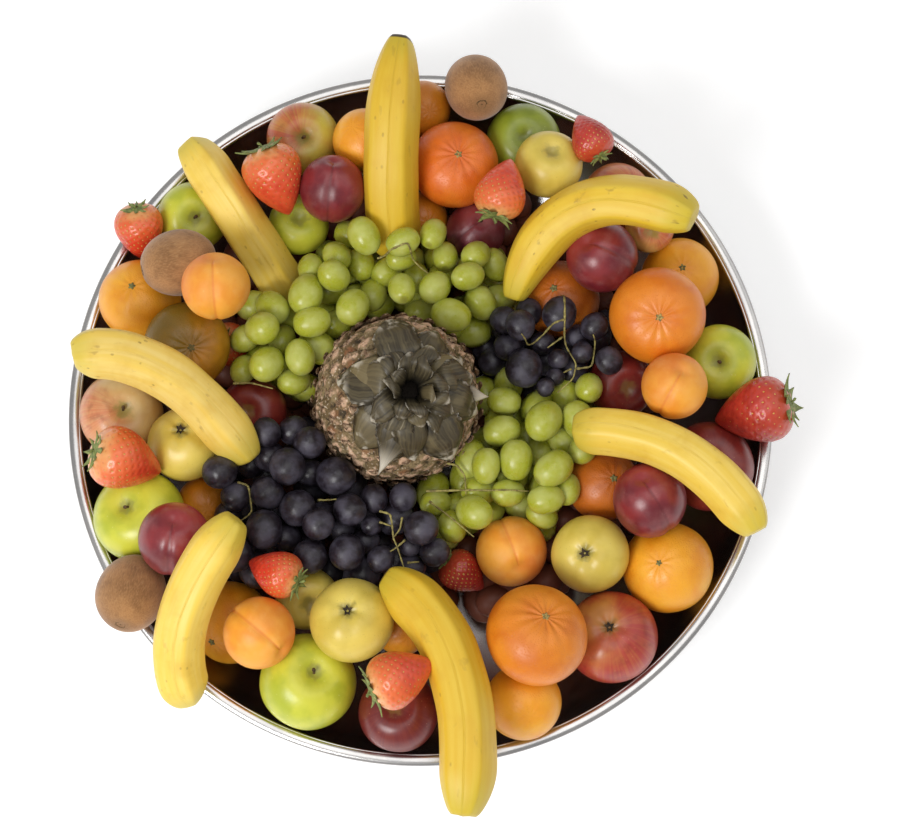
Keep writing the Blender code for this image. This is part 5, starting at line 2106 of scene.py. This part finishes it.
@dataclass
class Studio:
    """A white table, a white room and soft light from the left and the front."""

    floor_size: float = 12.0
    floor_height: float = -0.0005
    floor_glow: float = 0.28
    room_strength: float = 0.42
    sensor_mm: float = 36.0
    facing: tuple[float, float, float] = (0, 0, 0.08)

    # Each lamp's place, size and power
    LAMPS = {
        "key_light": ((-1.1, -1.3, 1.9), 1.0, 38.0),
        "top_light": ((0.2, 0.2, 2.6), 1.8, 14.0),
        "fill_light": ((1.5, 0.6, 1.4), 1.4, 4.0),
    }

    def build(self) -> None:
        """Makes the floor, the lights and the camera at the photograph's angle."""
        white = dict(first="#FAFAFA", second="#F8F8F8", size_mm=200.0, relief_mm=0.0)
        paper = Plain("studio_paper", 0.9, glow=self.floor_glow, **white).make()
        half = self.floor_size / 2
        around = ((-half, -half), (half, -half), (half, half), (-half, half))
        corners = np.array([(x, y, self.floor_height) for x, y in around])
        sheet = Shape(corners, [(0, 1, 2, 3)], corners.copy())
        floor = bpy.data.objects.new("studio_floor", sheet.mesh("studio_floor", [paper]))
        bpy.context.scene.collection.objects.link(floor)
        world = bpy.data.worlds.new("studio_room")
        world.use_nodes = True
        world.node_tree.nodes["Background"].inputs["Color"].default_value = linear("#FFFFFF")
        world.node_tree.nodes["Background"].inputs["Strength"].default_value = self.room_strength
        bpy.context.scene.world = world
        for name, values in self.LAMPS.items():
            self.light(name, *values)
        self.camera()
        scene = bpy.context.scene
        scene.view_settings.view_transform = "Standard"
        scene.view_settings.look = "None"

    def light(self, name: str, place: tuple[float, float, float], size: float, power: float) -> None:
        """Adds a square lamp that faces the bowl."""
        data = bpy.data.lights.new(name, "AREA")
        data.size = size
        data.energy = power
        lamp = bpy.data.objects.new(name, data)
        lamp.location = place
        lamp.rotation_euler = (Vector(self.facing) - Vector(place)).to_track_quat("-Z", "Y").to_euler()
        bpy.context.scene.collection.objects.link(lamp)

    def camera(self) -> None:
        """Adds the camera where the photograph was taken."""
        data = bpy.data.cameras.new("photo_camera")
        data.sensor_fit = "HORIZONTAL"
        data.sensor_width = self.sensor_mm
        data.lens = self.sensor_mm * VIEW.distance / (VIEW.picture[0] * VIEW.scale)
        data.clip_end = 50.0
        camera = bpy.data.objects.new("photo_camera", data)
        axes = Matrix((Vector((1, 0, 0)), VIEW.up, -VIEW.away)).transposed()
        camera.matrix_world = Matrix.Translation(VIEW.eye) @ axes.to_4x4()
        bpy.context.scene.collection.objects.link(camera)
        bpy.context.scene.camera = camera


# What lies in the bowl

GREEN = dict(ground="#CECE40", deep="#AEB630", dots="#DEDFA0", cavity="#8F9044")
YELLOW = dict(ground="#DFC75C", deep="#CDB448", dots="#A8913E", cavity="#8E8240")
YELLOW |= dict(dot_share=0.3, roughness=0.42)
RED = dict(ground="#A8502C", deep="#983E26", blush="#7E2724", dots="#D9A07A", cavity="#8E6E3A")
RED |= dict(dot_share=0.25, streak_share=0.15)
BLUSH = dict(ground="#DDBE6C", deep="#D2A654", blush="#C2603C", dots="#EBDCA4", cavity="#8E8A40")
BLUSH |= dict(dot_share=0.3)
CREAM = {**BLUSH, "ground": "#E0C488", "deep": "#D6AE6C", "blush": "#CF8258"}
CRIMSON = {**RED, "blush": "#A93830", "ground": "#C8883E", "deep": "#B86C32", "streak_share": 0.22}


def apples() -> list[Apple]:
    """The apples, by what each shows in the photograph."""
    first = dict(ground="#CCBE4C", deep="#C2A244", blush_share=0.45, sunny_side=(-1, 0.2, 0.2))
    skins = {
        "blush_top": AppleSkin("apple_skin_blush_top", **{**BLUSH, **first}),
        "blush_left": AppleSkin(
            "apple_skin_blush_left", **CREAM, blush_share=0.35, sunny_side=(-0.6, 0.8, 0.2)
        ),
        "blush_right": AppleSkin(
            "apple_skin_blush_right", **BLUSH, blush_share=0.6, sunny_side=(0.2, 0.9, 0.3)
        ),
        "dark_red": AppleSkin("apple_skin_dark_red", **{**RED, "blush": "#6A1E1E"}, blush_share=0.95),
        "crimson": AppleSkin("apple_skin_crimson", **CRIMSON, blush_share=0.85),
        "red": AppleSkin("apple_skin_red", **RED, blush_share=0.9),
    }
    green = [AppleSkin(f"apple_skin_green_{k}", **GREEN) for k in range(1, 6)]
    yellow = [AppleSkin(f"apple_skin_yellow_{k}", **YELLOW, russet=0.08 * k) for k in range(4)]
    shade = dict(ground="#8F9A2C", deep="#74801F", dots="#B8BE6C", cavity="#5E6428")
    green[4] = AppleSkin("apple_skin_green_shaded", **shade)
    spring, gold, blush, red = "apple_green_skin", "apple_yellow_skin", "apple_blush_skin", "apple_red_skin"
    return [
        Apple("apple_blush_top", (1, 2), 57, skins["blush_top"], blush, seed=2, stem_mm=6),
        Apple("apple_green_upper_left", (6, 4), 54, green[0], spring, seed=3, stem_mm=5),
        Apple("apple_blush_left", (8, -7), 64, skins["blush_left"], blush, seed=4, stem_mm=5),
        Apple("apple_green_left", (-13, -16), 70, green[1], spring, seed=5, stem_mm=5),
        Apple("apple_green_bottom", (12, -18), 73, green[2], spring, seed=6, stem_mm=6),
        Apple("apple_red_bottom", (-4, -12), 60, skins["dark_red"], red, seed=7, lobes=0.04),
        Apple("apple_red_lower_right", (-5, -16), 70, skins["crimson"], red, End.EYE, seed=8),
        Apple("apple_red_right", (6, -11), 68, skins["red"], red, seed=9),
        Apple("apple_green_right", (-6, 0), 57, green[3], spring, seed=10, stem_mm=5),
        Apple("apple_blush_upper_right", (23, -6), 60, skins["blush_right"], blush, seed=11),
        Apple("apple_green_top", (2, -3), 58, green[4], spring, seed=12),
        Apple("apple_yellow_left", (-3, -18), 58, yellow[2], gold, End.EYE, seed=13),
        Apple("apple_yellow_top", (4, -15), 52, yellow[0], gold, seed=14, tall=0.95),
        Apple("apple_yellow_right", (-9, -3), 59, yellow[1], gold, End.EYE, seed=15),
        Apple("apple_yellow_bottom", (-4, -15), 63, yellow[3], gold, End.EYE, seed=16),
    ]


def citrus() -> list[Citrus]:
    """The oranges and mandarins."""
    form = dict(tall=0.84, stem_dip=0.12, stem_spread=0.4, eye_dip=0.08, eye_spread=0.35, furrows=0.014)
    mandarin = dict(slot="mandarin_peel", furrow_count=13, button="#C4A862", **form)
    skins = {
        "deep": CitrusPeel("mandarin_peel_deep", ground="#E0701A", deep="#CE5E12", tinge="#E88A2A"),
        "mid": CitrusPeel("mandarin_peel", ground="#E4841C", deep="#D87214", tinge="#EB982E"),
        "late": CitrusPeel("mandarin_peel_late", ground="#E2841C", deep="#D27010", tinge="#E9962E"),
        "russet": CitrusPeel(
            "mandarin_peel_russet",
            ground="#B87C14",
            deep="#9C680C",
            tinge="#C48A1C",
            stain="#7A6614",
            stain_side=(-0.5, 0.9, 0.3),
        ),
    }
    orange = CitrusPeel("orange_peel")
    # The oranges deep in the heap get a darker peel: painted shade.
    dim = CitrusPeel("orange_peel_dim", ground="#C46A1A", deep="#A85410", tinge="#CE7A26")
    plain = [
        ("orange_top_left", (-12, -12), 50, 0.0),
        ("orange_left", (-4, -13), 63, 2.4),
        ("orange_lower_left", (-17, 18), 63, 2.4),
        ("orange_bottom", (6, 12), 57, 0.0),
        ("orange_inner_right", (9, -8), 56, 2.6),
        ("orange_right", (-1, -8), 60, 2.4),
        ("orange_inner_top", (-9, -10), 60, 2.6),
    ]
    made = [
        Citrus(node, lean, width, dim if "inner" in node else orange, "orange_peel", seed=20 + k, button_mm=button)
        for k, (node, lean, width, button) in enumerate(plain)
    ]
    made.append(Citrus("orange_lower_right", (-13, -7), 69, orange, "orange_peel", seed=31, button_mm=2.0))
    made.append(Citrus("mandarin_top", (5, -10), 68, skins["deep"], seed=33, **mandarin))
    made.append(Citrus("mandarin_right", (-1, 4), 73, skins["mid"], seed=34, **mandarin))
    made.append(Citrus("mandarin_bottom", (10, -27), 76, skins["late"], seed=35, **mandarin))
    russet = {**mandarin, "slot": "orange_peel", "button": "#7A6A3A"}
    made.append(Citrus("orange_russet", (10, 3), 66, skins["russet"], seed=36, **russet))
    return made


def stone_fruit() -> list[StoneFruit]:
    """The plums and apricots."""
    apricot = StoneFruitSkin("apricot_skin")
    purple = dict(ground="#862C30", deep="#6A2028", blush="#B2403A", bloom="#AE7C78", crease="#5A1A20")
    # The plums' lighter red blush faces the lower left, the key lamp's side: partly their own colour, partly
    # painted light.
    plum = StoneFruitSkin("plum_skin", 0.38, 0.08, **purple, bloom_share=0.15, sunny_side=(-0.6, -1.0, 0.2))
    apricots = (
        ("apricot_right", (6, -16), 50),
        ("apricot_bottom", (8, 16), 54),
        ("apricot_lower_left", (25, 18), 54),
        ("apricot_upper_left", (-1, -28), 51),
    )
    plums = (
        ("plum_top", (3, -26), 50),
        ("plum_upper_right", (-17, -12), 54),
        ("plum_lower_right", (-10, -21), 55),
        ("plum_left", (2, -19), 54),
    )
    round_form = dict(slot="apricot_skin", tall=0.98, scar_mm=0)
    long_form = dict(tall=1.06, seam=0.055, scar_mm=0)
    made = [StoneFruit(*what, apricot, seed=40 + k, **round_form) for k, what in enumerate(apricots)]
    made += [StoneFruit(*what, plum, seed=50 + k, **long_form) for k, what in enumerate(plums)]
    return made


def kiwis() -> list[Kiwi]:
    """The kiwis."""
    skin = KiwiSkin("kiwi_skin")
    return [
        Kiwi("kiwi_lower_left", (-6, 25), 52, skin, "kiwi_skin", seed=61),
        Kiwi("kiwi_upper_left", (-38, 9), 50, skin, "kiwi_skin", seed=62),
        Kiwi("kiwi_top", (5, 18), 49, skin, "kiwi_skin", seed=63),
    ]


def strawberries() -> list[Strawberry]:
    """The strawberries."""
    red = BerrySkin("strawberry_skin")
    orange = dict(ground="#DF5530", deep="#D24428", flush="#E4743A")
    light = BerrySkin("strawberry_skin_light", **orange, pale_from=0.62)
    crimson = dict(ground="#BE3A2C", deep="#A82C24", flush="#C8502F")
    bright = BerrySkin("strawberry_skin_dark", **crimson, pale_from=1.0)
    return [
        Strawberry("strawberry_top_left", (-14, -37), 46, light, 1),
        Strawberry("strawberry_far_left", (-2, -25), 38, red, 2, leaf_share=0.25),
        Strawberry("strawberry_top_right", (11, 22), 32, bright, 3, leaf_share=0.25),
        Strawberry("strawberry_top", (-9, 31), 39, light, 4),
        Strawberry("strawberry_right", (37, -9), 50, bright, 5),
        Strawberry("strawberry_left", (-31, -11), 47, light, 6, leaf_share=0.30),
        Strawberry("strawberry_lower_left", (25, 10), 35, red, 7, leaf_share=0.35),
        Strawberry("strawberry_bottom", (-31, 14), 42, light, 8),
        Strawberry("strawberry_inner_bottom", (-19, -15), 32, bright, 9, leaf_share=0.25),
        Strawberry("strawberry_hidden", (-14, -8), 34, red, 10, (237, 347)),
    ]


def bananas() -> list[Banana]:
    """The seven bananas that lie like petals."""
    ripe = BananaPeel("banana_peel", ground="#EDC84C", pale="#F4D878", spots=0.3)
    late = BananaPeel("banana_peel_pale", ground="#EBC758", pale="#F3D988", spots=0.6)
    spotted = BananaPeel("banana_peel_spotted", spots=0.75)
    deep = BananaPeel("banana_peel_deep", ground="#DAB024", pale="#E3C244", spots=0.35)
    plain = dict(stem_dark=0.3, tip_dark=0.3)
    top = dict(ridge_deg=28, stem_dark=1.0, stem_end=(0.40, 0.35), tip_end=(0.50, 0.10))
    upper_left = dict(ridge_deg=14, flatness=0.8, stem_end=(0.60, 0.22), **plain)
    left = dict(ridge_deg=20, stem_end=(0.50, 0.15), tip_end=(0.50, 0.14), **plain)
    lower_left = dict(ridge_deg=-28, stem_end=(0.40, 0.15), tip_end=(0.45, 0.16), stem_dark=0.4, tip_dark=0.2)
    bottom = dict(ridge_deg=28, tip_dark=0.4, stem_end=(0.50, 0.16))
    right = dict(stem_end=(0.45, 0.15), tip_end=(0.60, 0.10), **plain)
    upper_right = dict(stem_dark=0.35, tip_dark=0.3, stem_end=(0.42, 0.30), tip_end=(0.55, 0.11))
    return [
        Banana("banana_top", (401, 55), (391, 154), (393, 258), 42, 24, deep, 1, **top),
        Banana("banana_upper_left", (196, 154), (238, 218), (298, 303), 36, 22, ripe, 2, **upper_left),
        Banana("banana_left", (254, 452), (165, 372), (77, 358), 38, 8, late, 3, **left),
        Banana("banana_lower_left", (182, 709), (182, 620), (240, 522), 38, 10, ripe, 4, **lower_left),
        Banana("banana_bottom", (391, 575), (458, 668), (466, 811), 42, 12, deep, 5, **bottom),
        Banana("banana_right", (753, 529), (682, 450), (576, 420), 36, 8, ripe, 6, **right),
        Banana("banana_upper_right", (503, 281), (580, 202), (693, 219), 38, 8, spotted, 7, **upper_right),
    ]


def shaded_fruit() -> list[RoundFruit]:
    """Fruit that shows in part, in the shade under the rest, and is no node of its own."""
    orange = CitrusPeel("orange_peel_shaded", ground="#D88A1E", deep="#C87812", tinge="#E09C30")
    violet = dict(ground="#7A3038", deep="#602630", blush="#963C3A", bloom="#A07C7C", crease="#4A1620")
    plum = StoneFruitSkin("plum_skin_shaded", 0.4, **violet)
    red = AppleSkin("apple_skin_shaded_red", **RED, blush_share=0.9)
    green = AppleSkin("apple_skin_shaded_green", **GREEN)
    blush = AppleSkin("apple_skin_shaded_blush", **BLUSH, blush_share=0.4)
    yellow = AppleSkin("apple_skin_shaded_yellow", **YELLOW)
    oranges = (
        ("orange_hidden_top", 44, (432, 106)),
        ("orange_hidden_left", 46, (207, 503)),
        ("orange_hidden_bottom", 42, (402, 628)),
        ("orange_hidden_middle", 40, (428, 212)),
    )
    hidden = [
        Apple("apple_green_hidden", (3, -8), 54, green, "apple_green_skin", seed=71, seen_px=(283, 240)),
        Apple("apple_red_hidden_right", (8, 6), 52, red, "apple_red_skin", seed=72, seen_px=(620, 384)),
        Apple("apple_red_hidden_left", (-6, 0), 52, red, "apple_red_skin", seed=73, seen_px=(266, 402)),
        Apple("apple_yellow_hidden", (5, 6), 48, yellow, "apple_yellow_skin", seed=74, seen_px=(310, 598)),
        Apple("apple_blush_hidden", (4, 6), 50, blush, "apple_blush_skin", seed=80, seen_px=(634, 240)),
        StoneFruit("plum_hidden", (6, -10), 46, plum, "plum_skin", seed=75, seen_px=(472, 226)),
    ]
    for k, (name, width, seen) in enumerate(oranges):
        hidden.append(Citrus(name, (8, 6), width, orange, seed=76 + k, button_mm=0, seen_px=seen))
    return hidden


def grapes(*rows: Sequence[float]) -> tuple[Grape, ...]:
    """The grapes of a table."""
    return tuple(Grape(*row) for row in rows)


def bunches() -> list[GrapeBunch]:
    """The four bunches of grapes round the pineapple, and the bed of grapes below them."""
    light = dict(ground="#A8AC34", other="#C3C252", bloom="#D2D692")
    green = GrapeSkin("green_grape_skin", 0.32, coat=0.12, subsurface=0.3, glow_depth=0.010, **light)
    purple = dict(ground="#1E171E", other="#4A2A30", bloom="#625E6E", end_dot="#3A2C26")
    dark = GrapeSkin("dark_grape_skin", 0.40, bloom_share=0.42, **purple)
    # The bed grapes are dark red-brown as painted shade, so the gaps between the fruit round the middle look dark.
    brown = dict(ground="#6E3A28", other="#8A5234", bloom="#7A4A38", end_dot="#4A2A1C")
    bed = GrapeSkin("bed_grape_skin", 0.5, bloom_share=0.1, **brown)
    shown_green_top = grapes(
        (364, 234, 32, 41, 296, -1), (403, 240, 28, 37, 25, -1), (433, 234, 27, 31, 250, 0, True),
        (445, 257, 26, 30, 270, 1, True), (476, 255, 28, 31, 40, 0.6), (468, 276, 28, 34, 20),
        (402, 289, 28, 31, 280, 0, True), (435, 287, 31, 35, 60), (451, 315, 33, 42, 345),
        (481, 303, 30, 36, 300, 1), (500, 298, 28, 34, 10, 2), (386, 271, 28, 34, 45, 1.2),
        (416, 277, 27, 32, 100, 2), (420, 313, 27, 32, 10, 2), (400, 258, 26, 31, 10, 1),
        (361, 263, 28, 35, 100, 1.2), (373, 294, 29, 34, 80, 1.4), (337, 257, 28, 32, 130, 1),
        (334, 276, 30, 34, 320), (311, 268, 27, 30, 90, 1), (306, 294, 35, 42, 75),
        (353, 307, 33, 37, 65), (312, 322, 31, 43, 12), (331, 291, 28, 33, 0, 2),
        (337, 324, 28, 33, 30, 2), (272, 307, 32, 37, 140, 0.4), (262, 330, 33, 36, 200),
        (244, 338, 27, 31, 210, 0.7), (267, 364, 34, 37, 45), (300, 357, 30, 37, 105),
        (294, 381, 28, 33, 10, 1.2), (244, 371, 26, 30, 70, 1.4), (282, 340, 27, 32, 70, 1.8),
    )
    shown_green_right = grapes(
        (544, 421, 36, 42, 60), (581, 418, 33, 43, 115, -1), (589, 388, 28, 30, 80, 0.6),
        (504, 401, 28, 37, 170, 1), (502, 431, 31, 43, 10, 0.6), (516, 460, 33, 42, 270, 0, True),
        (486, 466, 29, 37, 265, 0, True), (553, 471, 34, 42, 215, 0, True), (564, 439, 30, 36, 150, 1),
        (583, 450, 28, 34, 60, 1.1), (546, 500, 30, 38, 10, 0.5), (508, 493, 28, 34, 0, 0.6),
        (474, 512, 33, 38, 150), (541, 448, 28, 33, 90, 1.5), (570, 490, 27, 32, 80, 1.3),
        (539, 517, 28, 34, 330, 1.2), (436, 503, 27, 32, 0, 1.3), (452, 527, 28, 33, 290, 1.1),
        (512, 480, 27, 32, 20, 1.6),
    )
    shown_dark_right = grapes(
        (503, 318, 28, 29, 150), (520, 328, 29, 32, 280), (529, 311, 27, 28, 90, 0.9),
        (560, 312, 34, 36, 60), (524, 368, 37, 40, 80), (594, 328, 27, 29, 45, 0.3, True),
        (609, 361, 27, 29, 300), (582, 352, 22, 23, 90, 0.4), (558, 359, 20, 21, 200, 0.4),
        (543, 343, 24, 25, 0, 0.9), (555, 377, 18, 19, 0, 0.4), (545, 391, 18, 19, 250, 0.4),
        (486, 343, 30, 31, 0, 2), (497, 367, 29, 30, 0, 1.8), (508, 348, 29, 30, 30, 1.2),
        (576, 334, 24, 25, 30, 1),
    )
    shown_dark_left = grapes(
        (224, 469, 34, 35, 30), (263, 436, 28, 30, 120, 0.4), (293, 429, 28, 30, 40, 0.5),
        (309, 444, 32, 33, 200), (250, 460, 28, 31, 110, 1), (269, 455, 30, 31, 30, 0.6),
        (288, 468, 36, 37, 270, 0, True), (336, 476, 39, 40, 0, 0, True), (267, 493, 33, 34, 180),
        (236, 497, 29, 31, 30, 0.5), (227, 512, 27, 28, 220, 0.6), (298, 510, 36, 37, 210, 0.4),
        (264, 530, 37, 40, 80), (236, 555, 34, 35, 240), (321, 516, 29, 30, 60, 1),
        (321, 536, 31, 32, 30), (309, 557, 34, 35, 210), (350, 510, 32, 33, 340, 0, True),
        (347, 552, 35, 36, 60), (374, 498, 27, 31, 100, 0.5), (403, 497, 27, 30, 80, 0.5),
        (372, 526, 20, 21, 0, 1), (421, 529, 34, 35, 200), (381, 559, 26, 28, 40, 0.5),
        (435, 552, 28, 31, 30, 0.5), (411, 547, 20, 21, 0, 1), (286, 537, 28, 30, 0, 1.1),
        (311, 473, 28, 30, 0, 1.2), (412, 566, 26, 28, 0, 1), (366, 541, 27, 28, 0, 1.5),
        (342, 528, 27, 28, 0, 1.5),
    )
    light_look = dict(finish=green, bed_shade_finish=bed, slot="grape_green_skin")
    dark_look = dict(finish=dark, bed_shade_finish=bed, slot="grape_dark_skin", tall=1.08)
    stalks_green_top = (
        ((377, 255), (394, 252), (408, 247), (412, 256), (420, 264), (428, 270)),
        ((232, 381), (250, 380), (272, 386)),
    )
    stalks_green_right = (
        ((426, 489), (465, 488), (500, 489), (529, 489)),
        ((447, 461), (457, 463), (465, 473), (466, 492)),
        ((429, 499), (445, 511), (459, 522), (474, 535)),
    )
    stalks_dark_right = (
        ((560, 290), (564, 297), (564, 332), (567, 345), (577, 361), (574, 376), (558, 390)),
        ((564, 323), (551, 327), (529, 344), (521, 337)),
        ((563, 334), (548, 345)),
        ((577, 366), (593, 364), (596, 340), (593, 335)),
        ((572, 366), (564, 370)),
    )
    stalks_dark_left = (
        ((379, 509), (390, 512), (392, 524), (393, 536), (397, 545), (404, 567)),
        ((402, 515), (400, 527), (393, 536)),
        ((379, 520), (391, 524)),
        ((405, 538), (397, 545), (390, 550)),
        ((407, 561), (419, 560)),
        ((237, 481), (248, 484), (251, 509), (247, 514), (231, 524)),
        ((317, 498), (336, 498)),
    )
    # Each bunch's top, its hidden grapes' width in mm, its bed's range in degrees and radius, its draw
    plans = (
        ("grapes_green_top", shown_green_top, stalks_green_top, 0.128, 24, (50, 180), 0.200, 3, light_look),
        ("grapes_green_right", shown_green_right, stalks_green_right, 0.120, 25, (285, 362), 0.165, 11, light_look),
        ("grapes_dark_right", shown_dark_right, stalks_dark_right, 0.118, 24, (5, 47), 0.185, 5, dark_look),
        ("grapes_dark_left", shown_dark_left, stalks_dark_left, 0.124, 28, (183, 282), 0.165, 8, dark_look),
    )
    made = []
    for node, shown, stalks, level, width, bed_deg, radius, seed, look in plans:
        look = dict(look, seed=seed, bed_radius=radius, stalks_px=stalks)
        made.append(GrapeBunch(node, shown, level, width, bed_deg, **look))
    return made


def main() -> None:
    """Builds the studio and everything in the bowl."""
    logging.basicConfig(level=logging.INFO, format="%(name)s %(message)s")
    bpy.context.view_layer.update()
    Studio().build()
    Bowl().build()
    Pineapple().build()
    for kind in (apples, citrus, stone_fruit, kiwis, strawberries, bananas, shaded_fruit, bunches):
        for item in kind():
            item.build()


if __name__ == "__main__":
    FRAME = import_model()
    SCATTER = Scatter()
    NEAR = Neighbours()
    BERRY_SEED = Plain("strawberry_seed", 0.45, first="#D9B25A", second="#C98F3E", size_mm=2.0).make()
    BERRY_LEAF = Plain("strawberry_leaf", 0.7, first="#8A9450", second="#66703C", size_mm=3.0).make()
    husk = Plain("pineapple_bract", 0.85, first="#A88E72", second="#6E543E", size_mm=4.0, relief_mm=0.5)
    BRACT = husk.make()
    wood = Plain("grape_stalk", 0.75, first="#A89C58", second="#74683A", size_mm=3.0, relief_mm=0.4)
    GRAPE_STALK = wood.make()
    main()
